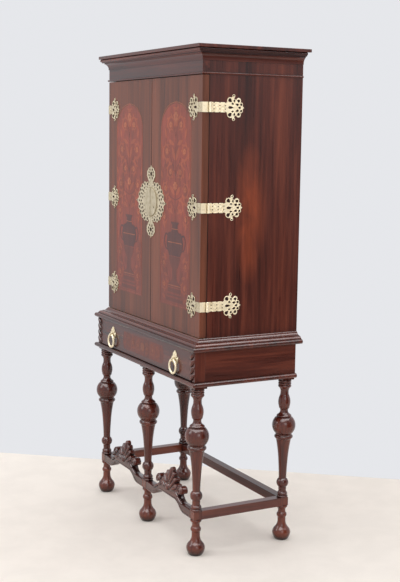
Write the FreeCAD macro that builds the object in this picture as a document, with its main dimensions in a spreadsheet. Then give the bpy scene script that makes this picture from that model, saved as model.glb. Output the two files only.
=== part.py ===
# A two-door marquetry cabinet on a stand with turned legs and carved front stretchers.
# Millimetres, +Z up, the doors face -Y, the origin is on the floor under the middle of the cabinet.
import FreeCAD, Part
import os
import re
import Sketcher

SIZES = {
    # feet, legs and stretchers
    "foot_height": 116.0,
    "foot_radius": 30.2,
    "block_width": 29.0,
    "block_height": 28.0,
    "leg_length": 406.0,
    "leg_radius": 38.6,
    "leg_inset": 23.5,
    "abacus_width": 44.0,
    "abacus_height": 7.0,
    "tenon_radius": 9.0,
    "tenon_length": 12.0,
    "tenon_play": 0.3,
    "stretcher_width": 29.0,
    "carved_thick": 29.0,
    "crest_rise": 124.0,
    "scroll_radius": 8.0,
    "scroll_relief": 3.0,
    # stand frieze
    "stand_width": 760.0,
    "stand_depth": 370.0,
    "stand_board": 18.0,
    "base_thick": 15.0,
    "nosing_reach": 4.5,
    "frieze_height": 96.0,
    "post_width": 33.0,
    "post_depth": 36.0,
    "stand_top_thick": 15.0,
    # case
    "case_width": 705.0,
    "case_depth": 336.0,
    "case_setback": 28.5,
    "case_board": 20.0,
    "waist_height": 22.0,
    "waist_reach": 30.0,
    "ceiling_thick": 18.0,
    "back_thick": 10.0,
    "rail_height": 41.0,
    "bead_height": 6.0,
    "bead_flat": 1.5,
    "cornice_height": 37.0,
    "cornice_reach": 20.0,
    "top_thick": 10.0,
    "top_reach": 29.0,
    "top_overhang": 12.0,
    "shelf_thick": 16.0,
    "shelf_setback": 40.0,
    "shelf_play": 0.5,
    "shelf_pin_radius": 3.0,
    "shelf_pin_length": 18.0,
    "shelf_pin_inset": 45.0,
    "shelf_pin_play": 0.2,
    # doors
    "door_height": 810.0,
    "door_thick": 24.0,
    "door_gap": 2.0,
    "seam_gap": 1.0,
    "panel_margin": 68.25,
    "panel_lift": 76.0,
    "panel_drop": 74.0,
    "veneer_thick": 1.2,
    # strap hinges
    "hinge_inset": 97.0,
    "strap_height": 31.0,
    "case_strap": 60.0,
    "door_strap": 30.0,
    "plate_length": 62.5,
    "plate_rise": 40.4,
    "leaf_thick": 1.5,
    "barrel_radius": 5.0,
    "hinge_pin_radius": 2.2,
    "hinge_play": 0.3,
    # lock plate, lock and door bolts
    "lock_plate_half": 116.0,
    "lock_plate_rise": 122.0,
    "lock_plate_thick": 1.5,
    "pendant_centre": 93.0,
    "pendant_hole": 7.0,
    "boss_radius": 47.0,
    "boss_thick": 3.0,
    "keyhole_radius": 3.0,
    "keyhole_across": 26.0,
    "keyhole_drop": 17.0,
    "keyhole_depth": 8.0,
    "lock_width": 58.0,
    "lock_height": 64.0,
    "lock_thick": 14.0,
    "lock_margin": 1.0,
    "lock_bolt_length": 40.0,
    "lock_bolt_height": 14.0,
    "lock_bolt_thick": 6.0,
    "lock_bolt_lift": 20.0,
    "lock_throw": 12.0,
    "keeper_width": 20.0,
    "keeper_height": 34.0,
    "slide_play": 0.4,
    "rod_radius": 4.0,
    "rod_length": 90.0,
    "rod_throw": 10.0,
    "rod_inset": 24.0,
    "mortise_play": 0.8,
    "mortise_depth": 12.0,
    "rod_knob_radius": 3.0,
    "rod_knob_length": 10.0,
    "guide_width": 22.0,
    "guide_height": 16.0,
    "guide_thick": 12.0,
    # drawer and its pulls
    "drawer_gap": 2.0,
    "drawer_play": 0.5,
    "drawer_run_gap": 0.3,
    "drawer_length": 338.0,
    "drawer_front_thick": 20.0,
    "drawer_board": 12.0,
    "drawer_side_height": 78.0,
    "drawer_bottom_thick": 8.0,
    "drawer_bottom_lift": 8.0,
    "drawer_groove": 6.0,
    "dovetail_length": 12.0,
    "dovetail_root": 11.0,
    "dovetail_flare": 3.0,
    "drawer_guide_height": 24.0,
    "drawer_panel_margin": 196.5,
    "drawer_panel_border": 16.0,
    "pull_inset": 101.5,
    "pull_lift": 51.0,
    "pull_plate_half": 19.0,
    "pull_plate_rise": 29.0,
    "pull_plate_thick": 1.5,
    "pull_stand_off": 9.0,
    "pull_neck_radius": 2.4,
    "ring_radius": 22.2,
    "ring_wire": 3.8,
    "eye_play": 0.4,
    "eye_wall": 2.2,
    "eye_length": 5.0,
    # reach of a tool past the faces that it cuts
    "overrun": 5.0,
}

DERIVED = {
    # levels, from the floor up
    "leg_level": "foot_height + block_height",
    "base_level": "leg_level + leg_length",
    "frieze_level": "base_level + base_thick",
    "stand_top_level": "frieze_level + frieze_height",
    "case_level": "stand_top_level + stand_top_thick",
    "floor_level": "case_level + waist_height",
    "door_level": "floor_level + door_gap",
    "door_middle": "door_level + door_height / 2",
    "door_top": "door_level + door_height",
    "rail_level": "door_top + door_gap",
    "cornice_level": "rail_level + rail_height",
    "top_level": "cornice_level + cornice_height",
    "pull_level": "frieze_level + pull_lift",
    # depths, from the front of the ring pulls to the back of the top board
    "eye_radius": "ring_wire + eye_play + eye_wall",
    "depth_before": "max(pull_stand_off + eye_radius; leg_radius - leg_inset)",
    "depth_behind": "case_setback + door_thick + seam_gap + case_depth + top_overhang",
    "stand_front": "(depth_before - depth_behind) / 2",
    "stand_back": "stand_front + stand_depth",
    "door_front": "stand_front + case_setback",
    "door_back": "door_front + door_thick",
    "case_front": "door_back + seam_gap",
    "case_back": "case_front + case_depth",
    "leg_front": "stand_front + leg_inset",
    "leg_back": "stand_back - leg_inset",
    # widths, from the middle out
    "half_stand": "stand_width / 2",
    "half_case": "case_width / 2",
    "half_inside": "half_case - case_board",
    "leg_across": "half_stand - leg_inset",
    "half_gap": "door_gap / 2",
    "half_drawer": "half_stand - post_width - drawer_play",
    "half_drawer_inside": "half_drawer - drawer_board",
    "pull_spread": "half_drawer - pull_inset",
    # marquetry panels, from the door and the drawer front that they are let into
    "panel_width": "half_case - half_gap - 2 * panel_margin",
    "panel_height": "door_height - panel_lift - panel_drop",
    "drawer_panel_width": "2 * (half_drawer - drawer_panel_margin)",
    # hinge axis, on the seam and just clear of the case side
    "hinge_across": "half_case + barrel_radius + hinge_play",
    "hinge_depth": "door_back + seam_gap / 2",
    "hinge_spacing": "door_height / 2 - hinge_inset",
    "knuckle_reach": "barrel_radius + hinge_play",
    "knuckle_height": "strap_height / 3",
    # stretchers, lock, bolts and drawer
    "half_span": "(leg_across - block_width) / 2",
    "lock_edge": "half_gap + lock_margin",
    "lock_level": "door_middle - keyhole_drop",
    "lock_bolt_level": "lock_level + lock_bolt_lift",
    "lock_bolt_depth": "door_back + lock_thick / 2",
    "rod_depth": "door_back + guide_thick / 2",
    "rod_across": "half_gap + rod_inset",
    "drawer_level": "frieze_level + drawer_gap",
    "drawer_height": "frieze_height - 2 * drawer_gap",
    "drawer_panel_height": "drawer_height - 2 * drawer_panel_border",
    "drawer_side_level": "frieze_level + drawer_run_gap",
    "drawer_bottom_level": "drawer_side_level + drawer_bottom_lift",
    "drawer_box_front": "stand_front + drawer_front_thick",
    "drawer_box_length": "drawer_length - drawer_front_thick",
}

# Each outline row is across, up and the bulge of the edge that follows, all shares of named sizes.
# A bulge is the tangent of a quarter of an arc's angle: 0 is straight and 1 is a half circle.

# Turned profiles, of the largest radius and the length.
LEG_SHARES = [
    (0.44, 0.0, 0.5), (0.44, 0.016, 0), (0.40, 0.018, 0.3), (0.42, 0.039, -0.3), (0.337, 0.067, 0),
    (0.337, 0.086, 0.47), (0.332, 0.158, 0), (0.324, 0.172, -0.012), (0.391, 0.3, -0.035),
    (0.622, 0.478, -0.25), (0.72, 0.495, 0.5), (0.72, 0.522, 0), (0.68, 0.526, 0), (0.68, 0.533, 0),
    (0.715, 0.536, 0.404), (0.725, 0.667, 0), (0.6, 0.674, 0.5), (0.6, 0.687, 0), (0.544, 0.692, -0.25),
    (0.337, 0.719, -0.25), (0.448, 0.746, 0), (0.448, 0.753, 0.19), (0.409, 0.845, -0.12),
    (0.352, 0.874, -0.25), (0.503, 0.916, 0.55), (0.503, 0.937, 0.55), (0.503, 0.957, 0.55),
    (0.503, 0.978, 0), (0.503, 0.985, 0),
]
FOOT_SHARES = [
    (0.695, 0.0, 0.15), (1.0, 0.198, 0.18), (0.762, 0.34, -0.17), (0.444, 0.534, 0), (0.444, 0.65, 0.44),
    (0.437, 0.793, 0), (0.411, 0.836, -0.25), (0.58, 0.948, 0.3), (0.58, 1.0, 0),
]
# Moulding sections, of the reach and the height.
WAIST_SHARES = [
    (0.0, 0.0, 0), (1.0, 0.0, 0), (1.0, 0.1, 0), (0.95, 0.1, 0.3), (0.66, 0.4, 0), (0.6, 0.4, 0),
    (0.6, 0.48, -0.35), (0.2, 0.8, 0), (0.14, 0.8, 0.41), (0.0, 1.0, 0),
]
CORNICE_SHARES = [
    (0.0, 0.0, 0), (0.1, 0.0, 0), (0.1, 0.08, -0.3), (0.67, 0.57, 0), (0.67, 0.65, 0), (1.0, 0.65, 0),
    (1.0, 0.73, 1.0), (1.0, 1.0, 0), (0.0, 1.0, 0),
]
# Carved stretcher, right half, of the half span and the crest's rise: underside, then scroll and crest.
CARVED_ARCH_SHARES = [(0.34, 0.24, -0.15), (0.5, 0.13, 0.15), (0.69, 0.0, 0)]
CARVED_SHOULDER_SHARE = 0.635
CARVED_SHOULDER_BULGE_SHARE = -0.35
CARVED_CREST_SHARES = [
    (0.415, 0.379, -0.45), (0.47, 0.5, 0.9), (0.58, 0.5, 1.0), (0.37, 0.548, -0.2), (0.287, 0.645, 0.7),
    (0.22, 0.766, 0.7), (0.147, 0.855, 0.76),
]
SCROLL_SHARES = [(-0.525, 0.5), (0.525, 0.5), (0.0, 0.8)]
# Hinge plate, lower half, of its length and its rise.
HINGE_EDGE_SHARES = [
    (0.28, -0.76, 0), (0.314, -0.834, 1.43), (0.464, -0.834, 0), (0.408, -0.668, -0.3),
    (0.536, -0.594, 1.39), (0.744, -0.359, 0.86), (0.896, -0.141, -0.2),
]
HINGE_JOIN_SHARE = 0.027
HINGE_JOIN_BULGE_SHARE = 0.65
HINGE_SLIT_SHARES = [(0.16, -0.03, 0), (0.36, -0.07, 1.0), (0.36, 0.07, 0), (0.16, 0.03, 0)]
HINGE_PIERCE_SHARES = [(0.208, 0.485, 0.095), (0.64, 0.52, 0.065), (0.43, 0.27, 0.06), (0.8, 0.22, 0.04)]
# Lock plate, lower right quarter above its tip, of the half width and the rise.
LOCK_EDGE_SHARES = [
    (0.069, -0.926, 0.45), (0.19, -0.869, 0.5), (0.259, -0.754, 0.5), (0.198, -0.639, 0.45),
    (0.112, -0.566, 0), (0.112, -0.516, -0.3), (0.155, -0.492, 0.6), (0.28, -0.508, 0.6),
    (0.42, -0.508, 0.6), (0.552, -0.451, 0.6), (0.672, -0.369, 0.6), (0.776, -0.27, 0.6),
    (0.862, -0.172, 0.6), (0.914, -0.074, -0.15),
]
LOCK_TIP_BULGE_SHARE = -0.15
LOCK_PIERCE_SHARES = [
    (0.57, 0.27, 0.06), (0.78, 0.14, 0.05), (0.42, 0.43, 0.05), (0.24, 0.46, 0.035), (0.15, 0.69, 0.037),
    (0.12, 0.87, 0.03),
]
LOCK_WING_SHARES = [(0.61, 0.0, 0.07), (0.84, 0.0, 0.045)]
# Marquetry arch and pull plate, right halves, of the full width or half width and the height.
ARCH_SHARES = [(0.5, 0.0, 0), (0.5, 0.876, 0.3), (0.07, 0.985, -0.2)]
PULL_SHARES = [(0.5, -0.5, 0.45), (1.0, 0.05, 0.3), (0.4, 0.55, -0.15)]
PULL_FOOT_BULGE_SHARE = 0.5
PANEL_END_BULGE_SHARE = 0.4
# Middles of the dovetails, of the height of the drawer's side.
DOVETAIL_SHARES = [0.26, 0.54, 0.82]

NAMES = {**SIZES, **DERIVED}
AXIS_X = FreeCAD.Vector(1, 0, 0)
AXIS_Y = FreeCAD.Vector(0, 1, 0)
AXIS_Z = FreeCAD.Vector(0, 0, 1)
FLAT = FreeCAD.Rotation()
UPRIGHT = FreeCAD.Rotation(AXIS_X, 90)
SIDEWAYS = FreeCAD.Rotation(AXIS_Y, AXIS_Z, AXIS_X, "XYZ")
INWARD = FreeCAD.Rotation(-AXIS_X, AXIS_Z, AXIS_Y, "XYZ")
FORWARD = FreeCAD.Rotation(-AXIS_Y, AXIS_Z, -AXIS_X, "XYZ")
ALONG_X = FreeCAD.Rotation(AXIS_Y, 90)
ALONG_Y = FreeCAD.Rotation(AXIS_X, -90)

document = FreeCAD.newDocument("Cabinet")
sheet = document.addObject("Spreadsheet::Sheet", "Sizes")
parts = {}


def fill_sheet():
    """Write the driving sizes as numbers and the sizes that follow from them as formulas."""
    for row, (name, number) in enumerate(SIZES.items(), start=1):
        sheet.set(f"A{row}", name)
        sheet.set(f"B{row}", str(number))
        sheet.setAlias(f"B{row}", name)
    for row, (name, formula) in enumerate(DERIVED.items(), start=1):
        sheet.set(f"C{row}", name)
        sheet.set(f"D{row}", f"={formula}")
        sheet.setAlias(f"D{row}", name)
    document.recompute()


def linked(formula):
    """Point each size name in a formula at the sheet."""
    return re.sub(r"[a-z]\w*", lambda word: f"Sizes.{word[0]}" if word[0] in NAMES else word[0], formula)


def value(formula):
    """The present length of a formula, so that a sketch is drawn at its solution."""
    return float(sheet.evalExpression(formula))


def bind(item, **formulas):
    """Tie properties of an object to formulas of the sheet."""
    for name, formula in formulas.items():
        item.setExpression(name, linked(formula))


def place(item, x="0", y="0", z="0", turn=FLAT):
    """Turn an object and tie its position to the sheet."""
    item.Placement = FreeCAD.Placement(FreeCAD.Vector(), turn)
    for axis, formula in (("x", x), ("y", y), ("z", z)):
        item.setExpression(f"Placement.Base.{axis}", linked(formula))


def keep(label, item):
    """Name a finished piece, which is written to a file of that name."""
    item.Label = label
    parts[label] = item


# Outlines


def arc_factor(bulge):
    """Distance of an arc's centre from the middle of its chord, as a share of the chord."""
    return (1 - bulge * bulge) / (4 * bulge)


def edge_between(start, end, bulge):
    """A straight edge or an arc; arcs are stored anticlockwise, so a hollow one is stored end first."""
    if not bulge:
        return Part.LineSegment(start, end)
    chord = end - start
    centre = (start + end) / 2 + FreeCAD.Vector(-chord.y, chord.x, 0) * arc_factor(bulge)
    angles = []
    for point in (start, end) if bulge > 0 else (end, start):
        spoke = point - centre
        angles.append(AXIS_X.getAngle(spoke) if spoke.y >= 0 else -AXIS_X.getAngle(spoke))
    return Part.ArcOfCircle(Part.Circle(centre, AXIS_Z, (start - centre).Length), *angles)


def draw_loop(sketch, points):
    """Draw a closed anticlockwise loop of (across, up, bulge) points that follow their formulas."""
    base = sketch.GeometryCount
    corners = [FreeCAD.Vector(value(across), value(up), 0) for across, up, _ in points]
    rules = []
    for index, (across, up, bulge) in enumerate(points):
        follower = (index + 1) % len(points)
        edge = base + index
        start, end = (1, 2) if bulge >= 0 else (2, 1)
        next_start = 1 if points[follower][2] >= 0 else 2
        sketch.addGeometry(edge_between(corners[index], corners[follower], bulge), False)
        rules.append((Sketcher.Constraint("Coincident", edge, end, base + follower, next_start), None))
        rules.append((Sketcher.Constraint("DistanceX", edge, start, corners[index].x), across))
        rules.append((Sketcher.Constraint("DistanceY", edge, start, corners[index].y), up))
        if bulge:
            rules.append(centre_rule(sketch, edge, points[index], points[follower]))
    tie_rules(sketch, rules)


def centre_rule(sketch, edge, start, end):
    """Hold an arc's centre across its chord, in the direction in which the centre moves most."""
    centre = sketch.Geometry[edge].Center
    chord_across = f"(({end[0]}) - ({start[0]}))"
    chord_up = f"(({end[1]}) - ({start[1]}))"
    factor = f"({arc_factor(start[2]):.9f})"
    if abs(value(chord_up)) > abs(value(chord_across)):
        formula = f"(({start[0]}) + ({end[0]})) / 2 - {chord_up} * {factor}"
        return Sketcher.Constraint("DistanceX", edge, 3, centre.x), formula
    formula = f"(({start[1]}) + ({end[1]})) / 2 + {chord_across} * {factor}"
    return Sketcher.Constraint("DistanceY", edge, 3, centre.y), formula


def draw_circle(sketch, across, up, radius):
    """Draw a round hole that follows its formulas."""
    centre = FreeCAD.Vector(value(across), value(up), 0)
    hole = sketch.addGeometry(Part.Circle(centre, AXIS_Z, value(radius)), False)
    tie_rules(sketch, [
        (Sketcher.Constraint("DistanceX", hole, 3, centre.x), across),
        (Sketcher.Constraint("DistanceY", hole, 3, centre.y), up),
        (Sketcher.Constraint("Radius", hole, value(radius)), radius),
    ])


def tie_rules(sketch, rules):
    """Add constraints to a sketch and tie those that have a formula to it."""
    first = sketch.ConstraintCount
    sketch.addConstraint([rule for rule, _ in rules])
    for index, (_, formula) in enumerate(rules):
        if formula is not None:
            sketch.setExpression(f"Constraints[{first + index}]", linked(formula))


def shaped(shares, across, up, x="0", y="0"):
    """Turn rows of shares into formulas of two sizes, counted from a point."""
    return [(f"{x} + ({across}) * {u}", f"{y} + ({up}) * {v}", bulge) for u, v, bulge in shares]


def mirror_loop(run, tip=None, upright=True, closing=0):
    """Close a run with a tip on its upright or level axis and with its own mirror image."""
    bulges = [closing] + [bulge for _, _, bulge in run]
    back = []
    for index in reversed(range(len(run))):
        across, up, _ = run[index]
        twin = (f"-({across})", up) if upright else (across, f"-({up})")
        back.append((*twin, bulges[index]))
    return run + ([(*tip, bulges[-1])] if tip else []) + back


def outline(label, loops, x="0", y="0", z="0", turn=FLAT, holes=()):
    """A sketch of closed loops and round holes in a turned plane."""
    sketch = document.addObject("Sketcher::SketchObject", label)
    place(sketch, x, y, z, turn)
    for loop in loops:
        draw_loop(sketch, loop)
    for hole in holes:
        draw_circle(sketch, *hole)
    return sketch


def plate(label, thick, *drawing, **where):
    """A flat piece: an outline thickened along its normal."""
    item = document.addObject("Part::Extrusion", label)
    item.Base = outline(f"{label}_outline", *drawing, **where)
    item.DirMode = "Normal"
    item.Solid = True
    item.FaceMakerClass = "Part::FaceMakerBullseye"
    bind(item, LengthFwd=thick)
    return item


# Plain solids and their sums and differences


def board(label, low, high):
    """A board between two opposite corners."""
    item = document.addObject("Part::Box", label)
    spans = [f"({end}) - ({start})" for start, end in zip(low, high)]
    bind(item, Length=spans[0], Width=spans[1], Height=spans[2])
    place(item, *low)
    return item


def drum(label, radius, length, x="0", y="0", z="0", turn=FLAT):
    """A cylinder that starts at a place and runs up, or along the axis that it is turned to."""
    item = document.addObject("Part::Cylinder", label)
    bind(item, Radius=radius, Height=length)
    place(item, x, y, z, turn)
    return item


def cut(label, base, *tools):
    item = document.addObject("Part::Cut", label)
    item.Base = base
    item.Tool = tools[0] if len(tools) == 1 else group(f"{label}_tools", *tools)
    return item


def common(label, *items):
    item = document.addObject("Part::MultiCommon", label)
    item.Shapes = list(items)
    return item


def fuse(label, *items):
    item = document.addObject("Part::MultiFuse", label)
    item.Shapes = list(items)
    item.Refine = True
    return item


def group(label, *items):
    item = document.addObject("Part::Compound", label)
    item.Links = list(items)
    return item


def mirrored(label, source):
    """The left-hand twin of a right-hand piece."""
    item = document.addObject("Part::Mirroring", label)
    item.Source = source
    item.Normal = AXIS_X
    return item


def keep_pair(name, right):
    """Keep a right-hand piece and its left-hand twin."""
    keep(f"{name}_right", right)
    keep(f"{name}_left", mirrored(f"{name}_left", right))


# Mouldings that run round the front and both sides


def nosing_run(label, section, back, level):
    """Sweep a section from the back of the right side, along the front, to the back of the left side."""
    profile = outline(f"{label}_section", [section], x="half_stand", y=back, z=level, turn=UPRIGHT)
    path = document.addObject("Sketcher::SketchObject", f"{label}_path")
    place(path, z=level)
    front = "stand_front"
    corners = [("half_stand", back), ("half_stand", front), ("-half_stand", front), ("-half_stand", back)]
    spots = [FreeCAD.Vector(value(across), value(up), 0) for across, up in corners]
    rules = []
    for index, (start, end) in enumerate(zip(spots, spots[1:])):
        path.addGeometry(Part.LineSegment(start, end), False)
        rules.append((Sketcher.Constraint("DistanceX", index, 1, start.x), corners[index][0]))
        rules.append((Sketcher.Constraint("DistanceY", index, 1, start.y), corners[index][1]))
        rules.append((Sketcher.Constraint("DistanceX", index, 2, end.x), corners[index + 1][0]))
        rules.append((Sketcher.Constraint("DistanceY", index, 2, end.y), corners[index + 1][1]))
    tie_rules(path, rules)
    run = document.addObject("Part::Sweep", f"{label}_run")
    run.Sections = [profile]
    run.Spine = (path, ["Edge1", "Edge2", "Edge3"])
    run.Solid = True
    run.Transition = "Right corner"
    return run


def mitred_moulding(label, section, reach, height, level):
    """A moulding round the case in three lengths that meet in mitres at the front corners."""
    wide, before = f"half_case + {reach}", f"door_front - ({reach})"
    narrow, behind = "half_case - overrun", "door_front + overrun"
    wedge = [(f"-({wide})", before, 0), (wide, before, 0), (narrow, behind, 0), (f"-({narrow})", behind, 0)]
    mitre = plate(f"{label}_mitre", f"{height} + 2 * overrun", [wedge], z=f"{level} - overrun")
    ahead = plate(f"{label}_ahead", f"2 * ({wide})", [section], x=wide, y="door_front", z=level, turn=FORWARD)
    aside = plate(f"{label}_aside", f"case_back - ({before})", [section],
                  x="half_case", y="case_back", z=level, turn=UPRIGHT)
    front = common(f"{label}_front", ahead, mitre)
    side = cut(f"{label}_side", aside, mitre)
    keep(label, group(f"{label}_lengths", front, side, mirrored(f"{label}_twin", side)))


def nosed_board(label, thick, back, level):
    """A board as wide as the stand with a half-round nosing along its front and sides."""
    section = [("0", "0", 0), ("nosing_reach", "0", 1), ("nosing_reach", thick, 0), ("0", thick, 0)]
    nosing = nosing_run(label, section, back, level)
    core = board(f"{label}_core", ("-half_stand", "stand_front", level),
                 ("half_stand", back, f"{level} + {thick}"))
    return fuse(f"{label}_nosed", core, nosing)


# Legs, feet and stretchers


def turned(label, points, x, y, z):
    """A body turned about its upright axis from a half profile."""
    body = document.addObject("PartDesign::Body", label)
    sketch = body.newObject("Sketcher::SketchObject", f"{label}_profile")
    plane = next(item for item in body.Origin.OriginFeatures if item.Role == "XZ_Plane")
    sketch.AttachmentSupport = [(plane, "")]
    sketch.MapMode = "FlatFace"
    draw_loop(sketch, points)
    turning = body.newObject("PartDesign::Revolution", f"{label}_turning")
    turning.Profile = sketch
    turning.ReferenceAxis = (sketch, ["V_Axis"])
    place(body, x, y, z)
    return body


def add_square(body, name, width, height, z):
    """Add a square block, centred on the axis, to a turned body."""
    item = body.newObject("PartDesign::AdditiveBox", f"{body.Name}_{name}")
    bind(item, Length=width, Width=width, Height=height)
    place(item, f"-{width} / 2", f"-{width} / 2", z)


def leg(label, x, y):
    shaft = [("0", "0", 0), ("tenon_radius", "0", 0), ("tenon_radius", "tenon_length", 0)]
    shaft += shaped(LEG_SHARES, "leg_radius", "leg_length", y="tenon_length")
    neck = shaft[-1][1]
    top = "2 * tenon_length + leg_length"
    shaft += [("tenon_radius", neck, 0), ("tenon_radius", top, 0), ("0", top, 0)]
    body = turned(label, shaft, x, y, "leg_level - tenon_length")
    add_square(body, "abacus", "abacus_width", "abacus_height", "tenon_length + leg_length - abacus_height")
    keep(label, body)


def foot(label, x, y):
    profile = [("0", "0", 0)]
    profile += shaped(FOOT_SHARES, "foot_radius", "foot_height")
    profile += [("0", "foot_height", 0)]
    body = turned(label, profile, x, y, "0")
    add_square(body, "block", "block_width", "block_height", "foot_height")
    bore = body.newObject("PartDesign::SubtractiveCylinder", f"{label}_bore")
    bind(bore, Radius="tenon_radius + tenon_play", Height="tenon_length + tenon_play")
    place(bore, z="leg_level - tenon_length - tenon_play")
    keep(label, body)


LEG_PLACES = {
    "front_left": ("-leg_across", "leg_front"),
    "front_middle": ("0", "leg_front"),
    "front_right": ("leg_across", "leg_front"),
    "back_left": ("-leg_across", "leg_back"),
    "back_right": ("leg_across", "leg_back"),
}


def legs_and_feet():
    for name, (x, y) in LEG_PLACES.items():
        leg(f"leg_{name}", x, y)
        foot(f"foot_{name}", x, y)


def carved_stretchers():
    """Arched rails between the front legs, each with a leafy crest between two scrolls."""
    run = shaped(CARVED_ARCH_SHARES, "half_span", "crest_rise")
    run += [("half_span", "0", 0), ("half_span", "block_height", 0)]
    run += [(f"half_span * {CARVED_SHOULDER_SHARE}", "block_height", CARVED_SHOULDER_BULGE_SHARE)]
    run += shaped(CARVED_CREST_SHARES, "half_span", "crest_rise")
    middle = "block_width / 2 + half_span"
    rail = plate("carved_rail", "carved_thick", [mirror_loop(run)], x=middle,
                 y="leg_front + carved_thick / 2", z="foot_height", turn=UPRIGHT)
    scrolls = [
        drum("carved_scroll", "scroll_radius", "carved_thick + 2 * scroll_relief",
             f"{middle} + half_span * {across}", "leg_front - carved_thick / 2 - scroll_relief",
             f"foot_height + crest_rise * {up}", ALONG_Y)
        for across, up in SCROLL_SHARES
    ]
    keep_pair("carved_stretcher", fuse("carved_stretcher", rail, *scrolls))


def plain_stretchers():
    half = "stretcher_width / 2"
    inside = "leg_across - block_width / 2"
    side = board("side_stretcher", (f"leg_across - {half}", "leg_front + block_width / 2", "foot_height"),
                 (f"leg_across + {half}", "leg_back - block_width / 2", "leg_level"))
    back = board("back_stretcher", (f"-({inside})", f"leg_back - {half}", "foot_height"),
                 (inside, f"leg_back + {half}", "leg_level"))
    keep_pair("stretcher", side)
    keep("stretcher_back", back)


# Stand


def base_board():
    """The board under the drawer, bored from below for the tenons of the legs."""
    bores = [
        drum("base_bore", "tenon_radius + tenon_play", "tenon_length + tenon_play + overrun", x, y,
             "base_level - overrun")
        for x, y in LEG_PLACES.values()
    ]
    plain = nosed_board("base", "base_thick", "stand_back", "base_level")
    keep("stand_base", cut("base_board", plain, *bores))


def stand_frieze():
    inside = "half_stand - stand_board"
    post = board("frieze_post", ("half_stand - post_width", "stand_front", "frieze_level"),
                 ("half_stand", "stand_front + post_depth", "stand_top_level"))
    side = board("frieze_side", (inside, "stand_front + post_depth", "frieze_level"),
                 ("half_stand", "stand_back", "stand_top_level"))
    back = board("frieze_back", (f"-({inside})", "stand_back - stand_board", "frieze_level"),
                 (inside, "stand_back", "stand_top_level"))
    guide = board("drawer_guide", ("half_drawer + drawer_play", "stand_front + post_depth", "frieze_level"),
                  (inside, "stand_back - stand_board", "frieze_level + drawer_guide_height"))
    keep_pair("stand_post", post)
    keep_pair("stand_side", side)
    keep("stand_back", back)
    keep("drawer_guides", group("guide_pair", guide, mirrored("drawer_guide_twin", guide)))


def stand_top():
    keep("stand_top", nosed_board("stand_cap", "stand_top_thick", "case_back", "stand_top_level"))


# Case


def rod_mortise(label, start, end):
    """The square mortise in the case that takes a door bolt's rod."""
    room = "(rod_radius + mortise_play)"
    return board(label, (f"-rod_across - {room}", f"rod_depth - {room}", start),
                 (f"-rod_across + {room}", f"rod_depth + {room}", end))


def pin_places():
    """Depth and level of the shelf pins on one side of the case."""
    depths = ("case_front + shelf_setback + shelf_pin_inset", "case_back - back_thick - shelf_pin_inset")
    levels = [f"floor_level + (rail_level - floor_level) * {third} / 3" for third in (1, 2)]
    return [(depth, level) for level in levels for depth in depths]


def case_sides():
    """Two sides, each bored for four shelf pins."""
    side = board("side_board", ("half_inside", "case_front", "floor_level"),
                 ("half_case", "case_back", "top_level"))
    start = "half_inside - shelf_pin_length / 2"
    length = "shelf_pin_length"
    width, depth = "shelf_pin_radius + shelf_pin_play", f"{length} + shelf_pin_play"
    holes = [drum("pin_hole", width, depth, start, y, z, ALONG_X) for y, z in pin_places()]
    pins = [drum("shelf_pin", "shelf_pin_radius", length, start, y, z, ALONG_X) for y, z in pin_places()]
    keep_pair("case_side", cut("bored_side", side, *holes))
    right = group("pins_on_one_side", *pins)
    keep("shelf_pins", group("all_pins", right, mirrored("pins_on_other_side", right)))


def shelves():
    reach = "half_inside - shelf_play"
    for name, (_, level) in zip(("lower", "upper"), pin_places()[::2]):
        low = (f"-({reach})", "case_front + shelf_setback", f"{level} + shelf_pin_radius")
        high = (reach, "case_back - back_thick - shelf_play", f"{low[2]} + shelf_thick")
        keep(f"shelf_{name}", board(f"shelf_{name}", low, high))


def case_boards():
    bottom = board("bottom_board", ("-half_case", "door_front", "case_level"),
                   ("half_case", "case_back", "floor_level"))
    ceiling = board("ceiling_board", ("-half_inside", "case_front", "rail_level"),
                    ("half_inside", "case_back - back_thick", "rail_level + ceiling_thick"))
    back = board("back_board", ("-half_inside", "case_back - back_thick", "floor_level"),
                 ("half_inside", "case_back", "top_level"))
    rail = board("rail_board", ("-half_case", "door_front", "rail_level"),
                 ("half_case", "case_front", "top_level"))
    top = board("top_plank", ("-half_case - top_reach", "door_front - top_reach", "top_level"),
                ("half_case + top_reach", "case_back + top_overhang", "top_level + top_thick"))
    low_mortise = rod_mortise("low_mortise", "floor_level - mortise_depth", "floor_level + overrun")
    high_mortise = rod_mortise("high_mortise", "rail_level - overrun", "rail_level + mortise_depth")
    keep("case_bottom", cut("mortised_bottom", bottom, low_mortise))
    keep("case_top", cut("mortised_ceiling", ceiling, high_mortise))
    keep("case_back", back)
    keep("frieze_rail", rail)
    keep("top_board", top)


def case_mouldings():
    waist = shaped(WAIST_SHARES, "waist_reach", "waist_height")
    cornice = shaped(CORNICE_SHARES, "cornice_reach", "cornice_height")
    bead = [("0", "0", 0), ("bead_flat", "0", 1), ("bead_flat", "bead_height", 0), ("0", "bead_height", 0)]
    mitred_moulding("waist_moulding", waist, "(waist_reach + overrun)", "waist_height", "case_level")
    mitred_moulding("frieze_bead", bead, "(bead_height + overrun)", "bead_height", "rail_level")
    mitred_moulding("cornice", cornice, "2 * cornice_reach", "cornice_height", "cornice_level")


# Doors and their brass


def marquetry_panel(label, loop, x, y, z):
    """A veneer let into a face that looks to the front, flush with it."""
    return plate(label, "veneer_thick", [loop], x=x, y=f"{y} + veneer_thick", z=z, turn=UPRIGHT)


def keyhole(depth):
    """The bore for the key, from before the lock plate to a depth behind the door's face."""
    reach = "lock_plate_thick + boss_thick + overrun"
    return drum("keyhole", "keyhole_radius", f"{reach} + {depth}",
                "keyhole_across", f"door_front - ({reach})", "lock_level", ALONG_Y)


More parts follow.
